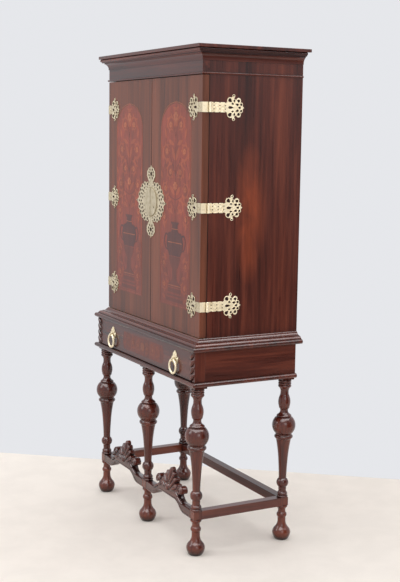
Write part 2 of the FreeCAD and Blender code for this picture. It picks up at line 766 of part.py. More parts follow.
def doors():
    arch = mirror_loop(shaped(ARCH_SHARES, "panel_width", "panel_height"), tip=("0", "panel_height"))
    middle = "(half_gap + half_case) / 2"
    panel = marquetry_panel("door_panel", arch, middle, "door_front", "door_level + panel_lift")
    slab = board("door_slab", ("half_gap", "door_front", "door_level"),
                 ("half_case", "door_back", "door_top"))
    plain = cut("door_plain", slab, panel)
    keep("door_right", cut("door_with_keyhole", plain, keyhole("door_thick + overrun")))
    keep("door_left", mirrored("door_twin", plain))
    keep_pair("door_inlay", panel)


def hinge_outline(start, strap):
    """A strap that ends in a pierced cartouche, symmetric about its level centre line."""
    low = "-strap_height / 2"
    run = [(start, low, 0), (f"{strap} + plate_length * {HINGE_JOIN_SHARE}", low, HINGE_JOIN_BULGE_SHARE)]
    run += shaped(HINGE_EDGE_SHARES, "plate_length", "plate_rise", x=strap)
    slit = shaped(HINGE_SLIT_SHARES, "plate_length", "plate_rise", x=strap)
    holes = [
        (f"{strap} + plate_length * {along}", f"{side} * plate_rise * {out}", f"plate_length * {radius}")
        for along, out, radius in HINGE_PIERCE_SHARES
        for side in (-1, 1)
    ]
    return [mirror_loop(run, tip=(f"{strap} + plate_length", "0"), upright=False), slit], holes


def knuckle(label, start, end, level, y):
    """One knuckle of a hinge barrel and the tongue that joins it to its leaf, from a depth to the axis."""
    low, high = f"{level} + {start}", f"{level} + {end}"
    height = f"({end}) - ({start})"
    barrel = drum(f"{label}_barrel", "barrel_radius", height, "hinge_across", "hinge_depth", low)
    near, far = (y, "hinge_depth") if y.startswith("hinge_depth -") else ("hinge_depth", y)
    tongue = board(f"{label}_tongue", ("half_case", near, low), ("half_case + leaf_thick", far, high))
    return [barrel, tongue]


def pin_bore(level):
    return drum("hinge_bore", "hinge_pin_radius + hinge_play", "strap_height + 2 * overrun",
                "hinge_across", "hinge_depth", f"{level} - strap_height / 2 - overrun")


def case_leaf(level):
    """The leaf on the case side, with the lowest and the highest knuckle."""
    loops, holes = hinge_outline("knuckle_reach", "case_strap")
    leaf = plate("case_leaf", "leaf_thick", loops,
                 x="half_case", y="hinge_depth", z=level, turn=SIDEWAYS, holes=holes)
    step = "knuckle_height / 2 + hinge_play / 2"
    low = knuckle("low_knuckle", "-strap_height / 2", f"-({step})", level, "hinge_depth + knuckle_reach")
    high = knuckle("high_knuckle", step, "strap_height / 2", level, "hinge_depth + knuckle_reach")
    return cut("case_leaf_bored", fuse("case_leaf_whole", leaf, *low, *high), pin_bore(level))


def door_leaf(level):
    """The leaf that wraps the door's edge and lies on its face, with the middle knuckle."""
    loops, holes = hinge_outline("0", "door_strap")
    face = plate("door_leaf", "leaf_thick", loops,
                 x="half_case + leaf_thick", y="door_front - leaf_thick", z=level, turn=INWARD, holes=holes)
    wrap = board("door_leaf_wrap", ("half_case", "door_front - leaf_thick", f"{level} - strap_height / 2"),
                 ("half_case + leaf_thick", "hinge_depth - knuckle_reach", f"{level} + strap_height / 2"))
    step = "knuckle_height / 2 - hinge_play / 2"
    middle = knuckle("middle_knuckle", f"-({step})", step, level, "hinge_depth - knuckle_reach")
    return cut("door_leaf_bored", fuse("door_leaf_whole", face, wrap, *middle), pin_bore(level))


def hinges():
    """Three strap hinges on each door."""
    levels = [f"door_middle + hinge_spacing * {step}" for step in (-1, 0, 1)]
    pins = group("pins_right", *[
        drum("hinge_pin", "hinge_pin_radius", "strap_height",
             "hinge_across", "hinge_depth", f"{level} - strap_height / 2")
        for level in levels
    ])
    fixed = group("case_leaves", *[case_leaf(level) for level in levels])
    keep("hinge_pins", group("pins_both", pins, mirrored("pins_left", pins)))
    keep("hinge_case_leaves", group("case_leaves_both", fixed, mirrored("case_leaves_twin", fixed)))
    keep_pair("hinge_door_leaves", group("door_leaves", *[door_leaf(level) for level in levels]))


def lock_plates():
    """A pierced plate with two pendants and a round boss, split along the seam of the doors."""
    run = [("half_gap", "-lock_plate_rise", LOCK_TIP_BULGE_SHARE)]
    run += shaped(LOCK_EDGE_SHARES, "lock_plate_half", "lock_plate_rise")
    loop = mirror_loop(run, tip=("lock_plate_half", "0"), upright=False)
    for centre in ("pendant_centre", "-pendant_centre"):
        loop += [("half_gap", f"{centre} + pendant_hole", -1), ("half_gap", f"{centre} - pendant_hole", 0)]
    spots = LOCK_WING_SHARES + LOCK_PIERCE_SHARES
    spots = spots + [(u, -v, radius) for u, v, radius in LOCK_PIERCE_SHARES]
    holes = [
        (f"lock_plate_half * {u}", f"lock_plate_rise * {v}", f"lock_plate_half * {radius}")
        for u, v, radius in spots
    ]
    sheet_brass = plate("lock_sheet", "lock_plate_thick", [loop],
                        y="door_front", z="door_middle", turn=UPRIGHT, holes=holes)
    half_disc = [("half_gap", "-boss_radius", 1), ("half_gap", "boss_radius", 0)]
    boss = plate("lock_boss", "boss_thick", [half_disc],
                 y="door_front - lock_plate_thick", z="door_middle", turn=UPRIGHT)
    half = fuse("lock_half", sheet_brass, boss)
    keep("lock_plate_right", cut("lock_half_bored", half, keyhole("overrun")))
    keep("lock_plate_left", mirrored("lock_half_twin", half))


def slot(label, start, end, play):
    """The space for the lock bolt between two places across, with room all round."""
    high, deep = f"lock_bolt_height / 2 + {play}", f"lock_bolt_thick / 2 + {play}"
    return board(label, (start, f"lock_bolt_depth - ({deep})", f"lock_bolt_level - ({high})"),
                 (end, f"lock_bolt_depth + {deep}", f"lock_bolt_level + {high}"))


def lock():
    """A box lock on the right door, its bolt and the keeper on the left door."""
    box = board("lock_box", ("lock_edge", "door_back", "lock_level - lock_height / 2"),
                ("lock_edge + lock_width", "door_back + lock_thick", "lock_level + lock_height / 2"))
    tail = "lock_edge + lock_bolt_length"
    bolt_way = slot("bolt_way", "lock_edge - overrun", f"{tail} + slide_play", "slide_play")
    low, high = "lock_bolt_level - keeper_height / 2", "lock_bolt_level + keeper_height / 2"
    block = board("keeper_block", ("-lock_edge - keeper_width", "door_back", low),
                  ("-lock_edge", "door_back + lock_thick", high))
    mouth = slot("keeper_mouth", "-lock_edge - lock_throw", "-lock_edge + overrun", "2 * slide_play")
    keep("lock_case", cut("lock_body", box, bolt_way, keyhole("door_thick + keyhole_depth")))
    keep("lock_bolt", slot("bolt_bar", "lock_edge", tail, "0"))
    keep("lock_keeper", cut("keeper_body", block, mouth))


def door_bolt(name, start):
    """A rod with a thumb knob and the two blocks that guide it; start is the rod's low end."""
    end = f"{start} + rod_length"
    rod = drum(f"{name}_rod", "rod_radius", "rod_length", "-rod_across", "rod_depth", start)
    knob = drum(f"{name}_knob", "rod_knob_radius", "rod_knob_length", "-rod_across", "rod_depth",
                f"{start} + rod_length / 2", ALONG_Y)
    bore = drum(f"{name}_guide_bore", "rod_radius + slide_play", "rod_length + 2 * overrun",
                "-rod_across", "rod_depth", f"{start} - overrun")
    keep(f"door_bolt_{name}", fuse(f"{name}_bolt", rod, knob))
    blocks = [
        board(f"{name}_guide", ("-rod_across - guide_width / 2", "door_back", low),
              ("-rod_across + guide_width / 2", "door_back + guide_thick", f"{low} + guide_height"))
        for low in (start, f"{end} - guide_height")
    ]
    return [cut(f"{name}_guide_bored", block, bore) for block in blocks]


def door_bolts():
    """Bolts at the top and bottom of the left door, drawn back at rest."""
    blocks = door_bolt("lower", "door_level + slide_play")
    blocks += door_bolt("upper", "door_top - slide_play - rod_length")
    keep("door_bolt_guides", group("bolt_guides", *blocks))


# Drawer and pulls


def dovetails():
    """The tails of the right drawer side, which spread towards the drawer's front."""
    root, tip = "drawer_box_front", "drawer_box_front - dovetail_length"
    loops = []
    for middle_share in DOVETAIL_SHARES:
        middle = f"drawer_side_level + drawer_side_height * {middle_share}"
        near, far = "dovetail_root / 2", "(dovetail_root / 2 + dovetail_flare)"
        loops.append([(tip, f"{middle} - {far}", 0), (root, f"{middle} - {near}", 0),
                      (root, f"{middle} + {near}", 0), (tip, f"{middle} + {far}", 0)])
    return plate("drawer_dovetails", "drawer_board", loops, x="half_drawer_inside", turn=SIDEWAYS)


def drawer():
    """A box with lapped dovetails in front, grooved for its bottom."""
    face = board("drawer_face", ("-half_drawer", "stand_front", "drawer_level"),
                 ("half_drawer", "drawer_box_front", "drawer_level + drawer_height"))
    half, high = "drawer_panel_width / 2", "drawer_panel_height"
    loop = [(f"-{half}", "0", 0), (half, "0", PANEL_END_BULGE_SHARE), (half, high, 0),
            (f"-{half}", high, PANEL_END_BULGE_SHARE)]
    panel = marquetry_panel("drawer_panel", loop, "0", "stand_front",
                            "drawer_level + (drawer_height - drawer_panel_height) / 2")
    tails = dovetails()
    keep("drawer_front", cut("drawer_face_cut", face, panel, tails, mirrored("drawer_dovetails_twin", tails)))
    keep("drawer_inlay", panel)
    end = "drawer_box_front + drawer_box_length"
    side_top = "drawer_side_level + drawer_side_height"
    bottom_top = "drawer_bottom_level + drawer_bottom_thick"
    side = board("drawer_side_board", ("half_drawer_inside", "drawer_box_front", "drawer_side_level"),
                 ("half_drawer", end, side_top))
    edge = "half_drawer_inside + drawer_groove"
    bottom = board("drawer_floor", (f"-({edge})", "drawer_box_front", "drawer_bottom_level"),
                   (edge, end, bottom_top))
    back = board("drawer_end", ("-half_drawer_inside", f"{end} - drawer_board", bottom_top),
                 ("half_drawer_inside", end, side_top))
    tailed = fuse("drawer_side_tailed", cut("drawer_side_grooved", side, bottom), tails)
    keep("drawer_sides", group("drawer_side_pair", tailed, mirrored("drawer_side_twin", tailed)))
    keep("drawer_bottom", bottom)
    keep("drawer_back", back)


def pull_plate():
    """A pointed leaf with an eye that stands off from it and takes the ring."""
    run = shaped(PULL_SHARES, "pull_plate_half", "pull_plate_rise")
    loop = mirror_loop(run, tip=("0", "pull_plate_rise"), closing=PULL_FOOT_BULGE_SHARE)
    leaf = plate("pull_leaf", "pull_plate_thick", [loop],
                 x="pull_spread", y="stand_front", z="pull_level", turn=UPRIGHT)
    start = "pull_spread - eye_length / 2"
    depth = "stand_front - pull_stand_off"
    eye = drum("pull_eye", "eye_radius", "eye_length", start, depth, "pull_level", ALONG_X)
    neck = drum("pull_neck", "pull_neck_radius", "pull_stand_off",
                "pull_spread", depth, "pull_level", ALONG_Y)
    bore = drum("pull_bore", "ring_wire + eye_play", "eye_length + 2 * overrun",
                f"{start} - overrun", depth, "pull_level", ALONG_X)
    return cut("pull_plate", fuse("pull_plate_whole", leaf, eye, neck), bore)


def pulls():
    right = pull_plate()
    keep("pull_plates", group("pull_plate_pair", right, mirrored("pull_plate_twin", right)))
    ring = document.addObject("Part::Torus", "pull_ring")
    bind(ring, Radius1="ring_radius", Radius2="ring_wire")
    place(ring, "pull_spread", "stand_front - pull_stand_off", "pull_level - ring_radius", UPRIGHT)
    keep_pair("pull_ring", ring)


def build():
    fill_sheet()
    legs_and_feet()
    carved_stretchers()
    plain_stretchers()
    base_board()
    stand_frieze()
    stand_top()
    case_sides()
    shelves()
    case_boards()
    case_mouldings()
    doors()
    hinges()
    lock_plates()
    lock()
    door_bolts()
    drawer()
    pulls()
    document.recompute()


def check():
    """Stop on any object that failed and on any piece without a sound solid."""
    for item in document.Objects:
        if "Invalid" in item.State or "Error" in item.State:
            raise RuntimeError(f"{item.Name} failed: {item.State}")
    for label, item in parts.items():
        if item.Label != label:
            raise RuntimeError(f"{label} was renamed {item.Label}")
        if item.Shape.isNull() or not item.Shape.isValid() or not item.Shape.Solids:
            raise RuntimeError(f"{label} has no sound solid")


def export():
    os.makedirs("parts", exist_ok=True)
    for label, item in parts.items():
        item.Shape.exportStep(f"parts/{label}.step")
    print(len(parts), "pieces,", sum(len(item.Shape.Solids) for item in parts.values()), "solids")


build()
check()
export()
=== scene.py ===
"""Dress the cabinet's frame: polished wood, marquetry, pierced brass, carving and a plain stage."""

import cmath
import functools
import math

import bmesh
import bpy
from bpy.props import FloatProperty, FloatVectorProperty, PointerProperty
from mathutils import Matrix, Vector


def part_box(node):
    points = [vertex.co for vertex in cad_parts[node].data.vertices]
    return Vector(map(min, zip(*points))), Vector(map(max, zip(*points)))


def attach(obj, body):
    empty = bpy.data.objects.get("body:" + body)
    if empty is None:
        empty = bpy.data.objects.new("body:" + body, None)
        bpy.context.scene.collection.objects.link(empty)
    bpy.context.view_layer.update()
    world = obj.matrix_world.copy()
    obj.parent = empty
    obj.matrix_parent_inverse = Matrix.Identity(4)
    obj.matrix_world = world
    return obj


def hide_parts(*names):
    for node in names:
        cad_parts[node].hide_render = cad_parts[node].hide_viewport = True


bl_info = {
    "name": "Marquetry Cabinet",
    "version": (1, 0, 0),
    "blender": (4, 5, 0),
    "location": "View3D > Sidebar > Cabinet",
    "description": "Finishes, brasswork, marquetry and carving for a cabinet on a stand",
    "category": "Object",
}

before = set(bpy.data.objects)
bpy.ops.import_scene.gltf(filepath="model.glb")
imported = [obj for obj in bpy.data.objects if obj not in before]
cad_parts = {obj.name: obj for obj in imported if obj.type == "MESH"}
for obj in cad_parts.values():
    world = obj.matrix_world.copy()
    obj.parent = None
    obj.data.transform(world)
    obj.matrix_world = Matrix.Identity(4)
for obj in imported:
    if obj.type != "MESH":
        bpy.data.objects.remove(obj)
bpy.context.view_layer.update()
MM = 0.001
SIDES = {"right": 1, "left": -1}

# Turn a piece that is drawn flat, with its face towards +Z, to the front or to the right side.
FRONT = Matrix(((1, 0, 0, 0), (0, 0, -1, 0), (0, 1, 0, 0), (0, 0, 0, 1)))
RIGHT = Matrix(((0, 0, 1, 0), (1, 0, 0, 0), (0, 1, 0, 0), (0, 0, 0, 1)))
MIRROR = Matrix.Scale(-1, 4, (1, 0, 0))


def seat(place, turn=FRONT):
    return Matrix.Translation(place) @ turn


def middle_of(node):
    low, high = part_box(node)
    return (low + high) / 2


def linked(name, data):
    """A new object in the scene."""
    item = bpy.data.objects.new(name, data)
    bpy.context.scene.collection.objects.link(item)
    return item


# Settings


def tint(name, description, default):
    return FloatVectorProperty(name=name, description=description, default=default, size=3,
                               subtype="COLOR", min=0, max=1)


def share(name, description, default):
    return FloatProperty(name=name, description=description, default=default, subtype="FACTOR",
                         min=0, max=1)


def length(name, description, millimetres):
    return FloatProperty(name=name, description=description, default=millimetres * MM, unit="LENGTH",
                         precision=5, min=0)


def power(name, description, watts):
    return FloatProperty(name=name, description=description, default=watts, unit="POWER", min=0)


def angle(name, description, degrees):
    return FloatProperty(name=name, description=description, default=math.radians(degrees),
                         subtype="ANGLE")


class CabinetWood(bpy.types.PropertyGroup):
    """Colours and polish of the wood"""
    dark: tint("Dark grain", "Late wood and the shade in the figure", (0.028, 0.006, 0.0045))
    body: tint("Body", "Main colour of the polished wood", (0.082, 0.0145, 0.008))
    light: tint("Light grain", "Early wood between the dark streaks", (0.16, 0.032, 0.014))
    flame: tint("Flame", "Orange figure in the side board", (0.42, 0.075, 0.018))
    door: tint("Door veneer", "Browner veneer round the marquetry", (0.128, 0.0345, 0.015))
    inside: tint("Inside", "Plain wood inside the case and the drawer", (0.36, 0.20, 0.10))
    polish: share("Polish roughness", "Roughness of the polished surface", 0.3)
    coat: share("Wax coat", "Strength of the clear coat", 0.22)
    # Strength of the painted shade that ambient occlusion lays in creases, which also stands for old wax.
    wax: share("Old wax", "Darkening in creases", 0.85)
    edge: length("Edge rounding", "Width of the worn arris of each board", 0.8)


class CabinetMarquetry(bpy.types.PropertyGroup):
    """Colours of the veneers that are let into the doors and the drawer"""
    ground: tint("Ground", "Brick-red veneer behind the foliage", (0.225, 0.037, 0.018))
    leaf: tint("Leaves", "Orange veneer of the leaves and scrolls", (0.30, 0.061, 0.022))
    pale: tint("Highlights", "Pale veneer of the petals and lines", (0.375, 0.104, 0.039))
    drawer: tint("Drawer ground", "Dark veneer of the drawer, the stems and the vase's foot",
                 (0.12, 0.025, 0.015))
    shade: tint("Vase", "Darkest veneer, of the vase and its handles", (0.065, 0.017, 0.015))
    proud: length("Veneer lift", "Height of the inlaid pieces over the ground", 0.15)


class CabinetBrass(bpy.types.PropertyGroup):
    """Colour and edges of the brasswork"""
    bright: tint("Bright", "Rubbed brass", (0.98, 0.87, 0.64))
    dull: tint("Dull", "Tarnish in the hollows", (0.52, 0.41, 0.23))
    roughness: share("Roughness", "Roughness of the rubbed brass", 0.46)
    metal: share("Metal", "Share of mirror reflection under the old lacquer", 0.45)
    # Painted shade: the brass on the front is a darker copy of the same brass at the side.
    front: share("Front shade", "Tone of the duller brass on the front", 0.6)
    rounding: length("Edge rounding", "Rounding of the pierced edges", 0.45)
    pin_radius: length("Pin heads", "Radius of the domed pins", 1.5)
    bead_radius: length("Beads", "Radius of the beads round the boss", 1.3)


class CabinetStage(bpy.types.PropertyGroup):
    """Backdrop, light and camera"""
    wall: tint("Backdrop", "Pale backdrop", (0.79, 0.80, 0.83))
    floor: tint("Floor", "Pale floor", (0.90, 0.845, 0.79))
    flag: tint("Flag", "Dark board that the polished side mirrors", (0.05, 0.044, 0.039))
    flag_reach: length("Flag distance", "From the cabinet's side to the dark board", 1250)
    flag_margin: length("Flag margin", "How far the board reaches past what the side mirrors", 450)
    sky: share("Sky", "Strength of the light from all round", 0.77)
    key: power("Key lamp", "Power of the lamp in front", 34)
    fill: power("Fill lamp", "Power of the lamp at the side", 20)
    sheen: power("Sheen lamp", "Power of the panel overhead that polish mirrors", 560)
    lens: FloatProperty(name="Lens", description="Focal length of the camera", unit="CAMERA",
                        default=68.71, min=1)
    eye: FloatVectorProperty(name="Camera place", description="Where the camera stands", size=3,
                             subtype="TRANSLATION", default=(3.35894, -1.77798, 1.32623))
    azimuth: angle("Azimuth", "Turn of the camera round the cabinet", 61.77)
    elevation: angle("Elevation", "Tilt of the camera", 7.96)
    roll: angle("Roll", "Roll of the camera", 0.78)


class CabinetSettings(bpy.types.PropertyGroup):
    """All settings of the cabinet"""
    wood: PointerProperty(type=CabinetWood)
    marquetry: PointerProperty(type=CabinetMarquetry)
    brass: PointerProperty(type=CabinetBrass)
    stage: PointerProperty(type=CabinetStage)


def settings():
    return bpy.context.scene.cabinet


# Node trees


class Number:
    """A number that varies over a surface; arithmetic on it adds Math nodes."""

    def __init__(self, finish, socket):
        self.finish = finish
        self.socket = socket

    def __add__(self, other):
        return self.finish.math("ADD", self, other)

    def __sub__(self, other):
        return self.finish.math("SUBTRACT", self, other)

    def __rsub__(self, other):
        return self.finish.math("SUBTRACT", other, self)

    def __mul__(self, other):
        return self.finish.math("MULTIPLY", self, other)

    def __truediv__(self, other):
        return self.finish.math("DIVIDE", self, other)

    def __pow__(self, other):
        return self.finish.math("POWER", self, other)

    def __gt__(self, other):
        return self.finish.math("GREATER_THAN", self, other)

    def __abs__(self):
        return self.finish.math("ABSOLUTE", self)

    __radd__ = __add__
    __rmul__ = __mul__

    def clipped(self):
        """The number held between 0 and 1."""
        return self.finish.math("ADD", self, 0, clamp=True)


class Tree:
    """A node tree under construction."""
    prefix = ""

    def node(self, kind, options=None, sockets=None):
        """Add a node, set its options, then give its sockets values or links."""
        item = self.tree.nodes.new(self.prefix + kind)
        for name, value in (options or {}).items():
            setattr(item, name, value)
        for name, value in (sockets or {}).items():
            self.feed(item.inputs[name], value)
        return item

    def feed(self, socket, value):
        if isinstance(value, Number):
            value = value.socket
        if isinstance(value, bpy.types.NodeSocket):
            self.tree.links.new(value, socket)
        elif socket.type == "RGBA" and len(value) == 3:
            socket.default_value = (*value, 1)
        else:
            socket.default_value = value


class Finish(Tree):
    """The nodes of a material or of the world."""
    prefix = "ShaderNode"

    def __init__(self, owner):
        self.owner = owner
        owner.use_nodes = True
        self.tree = owner.node_tree
        self.tree.nodes.clear()

    def math(self, operation, left, right=0.0, clamp=False):
        options = {"operation": operation, "use_clamp": clamp}
        return Number(self, self.node("Math", options, {0: left, 1: right}).outputs[0])

    def mix(self, factor, first, second):
        """Blend two colours or vectors."""
        options = {"data_type": "RGBA", "clamp_factor": True}
        return self.node("Mix", options, {0: factor, 6: first, 7: second}).outputs[2]

    def place(self, kind="Object"):
        return self.node("TexCoord").outputs[kind]

    def axes(self, kind="Object"):
        """The three coordinates of a place as numbers."""
        parts = self.node("SeparateXYZ", sockets={"Vector": self.place(kind)})
        return [Number(self, socket) for socket in parts.outputs]

    def stretched(self, scale):
        """Places drawn out by a scale for each axis."""
        return self.node("Mapping", sockets={"Vector": self.place(), "Scale": scale}).outputs[0]

    def noise(self, place, scale, detail=3, roughness=0.6, distortion=0.0):
        sockets = {"Vector": place, "Scale": scale, "Detail": detail, "Roughness": roughness,
                   "Distortion": distortion}
        return Number(self, self.node("TexNoise", sockets=sockets).outputs[0])

    def ramp(self, factor, positions, colours):
        """Colours that blend into each other at rising positions of a number."""
        item = self.node("ValToRGB", sockets={"Fac": factor})
        elements = item.color_ramp.elements
        while len(elements) < len(positions):
            elements.new(1)
        for element, position, colour in zip(elements, positions, colours):
            element.position = position
            element.color = (*colour, 1)
        return item.outputs[0]

    def hollows(self, distance):
        """How closed in a surface lies, from 0 on a plain face to 1 in a crease."""
        shade = self.node("AmbientOcclusion", {"samples": 8}, {"Distance": distance})
        return 1 - Number(self, shade.outputs["AO"])

    def bump(self, height, distance, strength):
        sockets = {"Strength": strength, "Distance": distance, "Height": height}
        return self.node("Bump", sockets=sockets).outputs[0]

    def glow(self, colour, kind="Emission", strength=1.0):
        return self.node(kind, sockets={"Color": colour, "Strength": strength}).outputs[0]

    def either(self, factor, first, second):
        """Mix two shaders."""
        return self.node("MixShader", sockets={0: factor, 1: first, 2: second}).outputs[0]

    def surface(self, **sockets):
        """Close with a principled surface; words in socket names are joined by underscores."""
        named = {name.replace("_", " "): value for name, value in sockets.items()}
        return self.close(self.node("BsdfPrincipled", sockets=named).outputs[0])

    def close(self, shader, kind="OutputMaterial"):
        self.node(kind, sockets={"Surface": shader})
        return self.owner


def finish_named(name):
    return Finish(bpy.data.materials.new(name))


# Finishes

GRAIN = {"x": (0.045, 1, 1), "y": (1, 0.045, 1), "z": (1, 1, 0.045)}
# Reach of the bands of painted shade along joints and of the painted shade in creases.
SEAM_SHADE_REACH = 3 * MM
CREASE_SHADE_REACH = 30 * MM
PIERCING_REACH = 4 * MM


def toned(colour, factor):
    return tuple(factor * part for part in colour)


def grain_place(finish, along):
    """Places drawn out along the grain; mitred mouldings change grain at the mitre."""
    if along in GRAIN:
        return finish.stretched(GRAIN[along])
    x, y, _ = finish.axes()
    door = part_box("door_right")
    ahead = (door[0].y - y) > (abs(x) - door[1].x)
    return finish.mix(ahead, finish.stretched(GRAIN["y"]), finish.stretched(GRAIN["x"]))


def polished_wood(name, along, flame=None, lift=0.0, colours=None, gloss=0.0, coat=1.0, shine=0.5,
                  crease=1.0, seams=()):
    """Dark red-brown wood with streaks and pores, darkened in its creases by painted shade that also stands
    for old wax.

    Flame is the middle, half width and half height of an orange figure. Lift pales the wood, gloss
    smooths it, coat is the share of the clear coat, shine the mirror light and crease the strength
    of the painted shade in hollows. Seams holds, for each axis, None or the level of a joint along which a
    band of painted shade is laid.
    """
    wood = settings().wood
    dark, body, light = colours or (wood.dark, wood.body, wood.light)
    finish = finish_named(name)
    place = grain_place(finish, along)
    figure = finish.noise(place, 16, detail=2, roughness=0.5, distortion=0.6)
    streaks = finish.noise(place, 75, detail=4, distortion=0.3)
    pores = finish.noise(place, 1500, detail=2)
    tone = figure * 0.5 + streaks * 0.5 + lift
    colour = finish.ramp(tone, (0.34, 0.5, 0.66), (dark, body, light))
    if flame:
        colour = finish.mix(flame_mask(finish, *flame, streaks), colour, wood.flame)
    # Dark pores, and painted shade from ambient occlusion in the creases, which also stands for old wax.
    wax = ((pores - 0.62) * 3).clipped() + finish.hollows(CREASE_SHADE_REACH) * (wood.wax * crease)
    # Painted shade: a dark band along each joint, for the shadow in its gap.
    for axis, level in enumerate(seams):
        if level is not None:
            wax = wax + (1 - abs(finish.axes()[axis] - level) / SEAM_SHADE_REACH).clipped()
    return finish.surface(
        Base_Color=finish.mix(wax.clipped(), colour, toned(dark, 0.35)),
        Roughness=streaks * 0.16 + (wood.polish - 0.08 - gloss),
        Specular_IOR_Level=shine,
        Coat_Weight=(wood.coat + gloss) * coat,
        Coat_Roughness=0.1,
        Normal=finish.bump(pores * 0.4 + streaks, 0.25 * MM, 0.5),
    )


def flame_mask(finish, middle, wide, tall, streaks):
    """A soft tall figure with a ragged edge, where a board shows its heart."""
    _, y, z = finish.axes()
    across, up = abs(y - middle.y) / wide, abs(z - middle.z) / tall
    ragged = finish.noise(finish.stretched((1, 1, 0.25)), 9, distortion=0.8)
    inside = 1.15 - (across ** 2 + up ** 2) ** 0.5
    return (inside * (ragged * 2.2 - 0.55) * (streaks + 0.5)).clipped() * 0.8


def plain_wood(name, along):
    """Waxed secondary wood for the inside."""
    wood = settings().wood
    finish = finish_named(name)
    place = grain_place(finish, along)
    rings = finish.noise(place, 40, detail=4, distortion=0.5)
    fibres = finish.noise(place, 420)
    tone = rings * 0.7 + fibres * 0.3
    shades = [toned(wood.inside, factor) for factor in (0.55, 1, 1.3)]
    return finish.surface(
        Base_Color=finish.ramp(tone, (0.35, 0.52, 0.7), shades),
        Roughness=fibres * 0.2 + 0.5,
        Normal=finish.bump(tone, 0.3 * MM, 0.4),
    )


def veneer(name, colour, spread, mottle, foot=None):
    """Figured veneer that is cut from one colour of wood.

    Spread is how far the figure departs from the colour, mottle darkens it in soft patches, and foot
    is the level under which it dulls.
    """
    wood = settings().wood
    finish = finish_named(name)
    curl = finish.noise(finish.stretched((1, 1, 0.2)), 28, detail=4, distortion=1.2)
    fibres = finish.noise(finish.stretched(GRAIN["z"]), 320)
    tone = curl * 0.65 + fibres * 0.35
    shades = [toned(colour, factor) for factor in (1 - spread, 1, 1 + spread)]
    base = finish.ramp(tone, (0.34, 0.5, 0.68), shades)
    clouds = finish.noise(finish.place(), 14, detail=4, roughness=0.65, distortion=0.9)
    base = finish.mix(((clouds - 0.42) * 3).clipped() * mottle, base, wood.light)
    if foot is not None:
        dull = ((foot - finish.axes()[2]) * 2.5).clipped() * 0.5
        base = finish.mix(dull, base, wood.body)
    return finish.surface(
        Base_Color=base,
        Roughness=fibres * 0.12 + wood.polish,
        Specular_IOR_Level=0.4,
        Coat_Weight=wood.coat * 0.5,
        Coat_Roughness=0.14,
        Normal=finish.bump(tone, 0.2 * MM, 0.4),
    )


def old_brass(name, dulled=0.0, shade=1.0, rubbed=0.0, front=False):
    """Pale brass with cloudy tarnish, dark in its piercings; rubbed brass is smoother. Shade, and the front
    shade setting when front is set, darken the colour as painted shade.
    """
    brass = settings().brass
    finish = finish_named(name)
    clouds = finish.noise(finish.place(), 60, detail=4, distortion=0.4)
    specks = finish.noise(finish.place(), 650)
    stains = (clouds * 0.6 + specks * 0.4 - 0.48) * 3
    tarnish = (stains + dulled + finish.hollows(PIERCING_REACH) * 1.2).clipped()
    tone = shade * brass.front if front else shade
    return finish.surface(
        Base_Color=finish.mix(tarnish, toned(brass.bright, tone), toned(brass.dull, tone)),
        Metallic=brass.metal,
        Roughness=tarnish * 0.15 + (brass.roughness - rubbed),
        Normal=finish.bump(specks, 0.3 * MM, 0.6),
    )


def old_wax(name):
    """Dark wax and dust in the piercings of the brass, also a painted shadow under the plate."""
    finish = finish_named(name)
    crumbs = finish.noise(finish.place(), 500)
    dark = settings().wood.dark
    return finish.surface(
        Base_Color=finish.ramp(crumbs, (0.3, 0.7), (toned(dark, 0.5), dark)),
        Roughness=crumbs * 0.2 + 0.6,
        Specular_IOR_Level=0.25,
    )


def filed_steel(name):
    finish = finish_named(name)
    strokes = finish.noise(finish.stretched((1, 1, 0.03)), 900)
    return finish.surface(
        Base_Color=finish.ramp(strokes, (0.3, 0.7), ((0.28, 0.27, 0.26), (0.55, 0.54, 0.52))),
        Metallic=1.0,
        Roughness=strokes * 0.2 + 0.3,
    )


# The front brasses and the pulls are darker copies of the brass at the side, as painted shade; the inside
# brass is dulled by tarnish.
BRASSES = {
    "old_brass": {},
    "barrel_brass": {"dulled": -0.2, "rubbed": 0.2},
    "front_brass": {"dulled": 0.1, "front": True},
    "satin_brass": {"dulled": 0.2, "shade": 0.9, "front": True},
    "pull_brass": {"shade": 0.86},
    "dull_brass": {"dulled": 0.35},
}
made_finishes = {}


def finish_for(key, maker, *details, **options):
    """Make each finish once."""
    if key not in made_finishes:
        made_finishes[key] = maker(key, *details, **options)
    return made_finishes[key]


def brass_of(name):
    return finish_for(name, old_brass, **BRASSES[name])


def paint(nodes, material):
    """Give CAD nodes a finish."""
    for node in nodes:
        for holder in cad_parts[node].material_slots:
            holder.material = material


# Flat outlines, drawn as complex numbers in metres

# Bulge of a half circle that is cut into an outline.
HALF_CIRCLE = -1
DROP_FULLNESS = 0.65
LEAF_BLUNTNESS = 0.8


def arc_points(start, end, bulge, steps=10):
    """Points from start towards end, without the end; bulge is the tangent of a quarter of the angle."""
    if not bulge:
        return [start]
    chord = end - start
    centre = (start + end) / 2 + 1j * chord * (1 - bulge * bulge) / (4 * bulge)
    turn = 4 * math.atan(bulge)
    return [centre + (start - centre) * cmath.exp(1j * turn * step / steps) for step in range(steps)]


def loop_of(rows):
    """A closed loop from rows of across, up and bulge in millimetres."""
    spots = [complex(x, y) * MM for x, y, _ in rows]
    points = []
    for spot, follower, (_, _, bulge) in zip(spots, spots[1:] + spots[:1], rows):
        points += arc_points(spot, follower, bulge)
    return points


def mirrored_rows(rows, tip=None, flip=(1, -1)):
    """Rows, a tip on the mirror line, and the same rows mirrored back."""
    bulges = [0] + [bulge for _, _, bulge in rows]
    back = [(x * flip[0], y * flip[1], bulge) for (x, y, _), bulge in zip(rows, bulges)]
    middle = [(*tip, bulges[-1])] if tip else []
    return rows + middle + back[::-1]


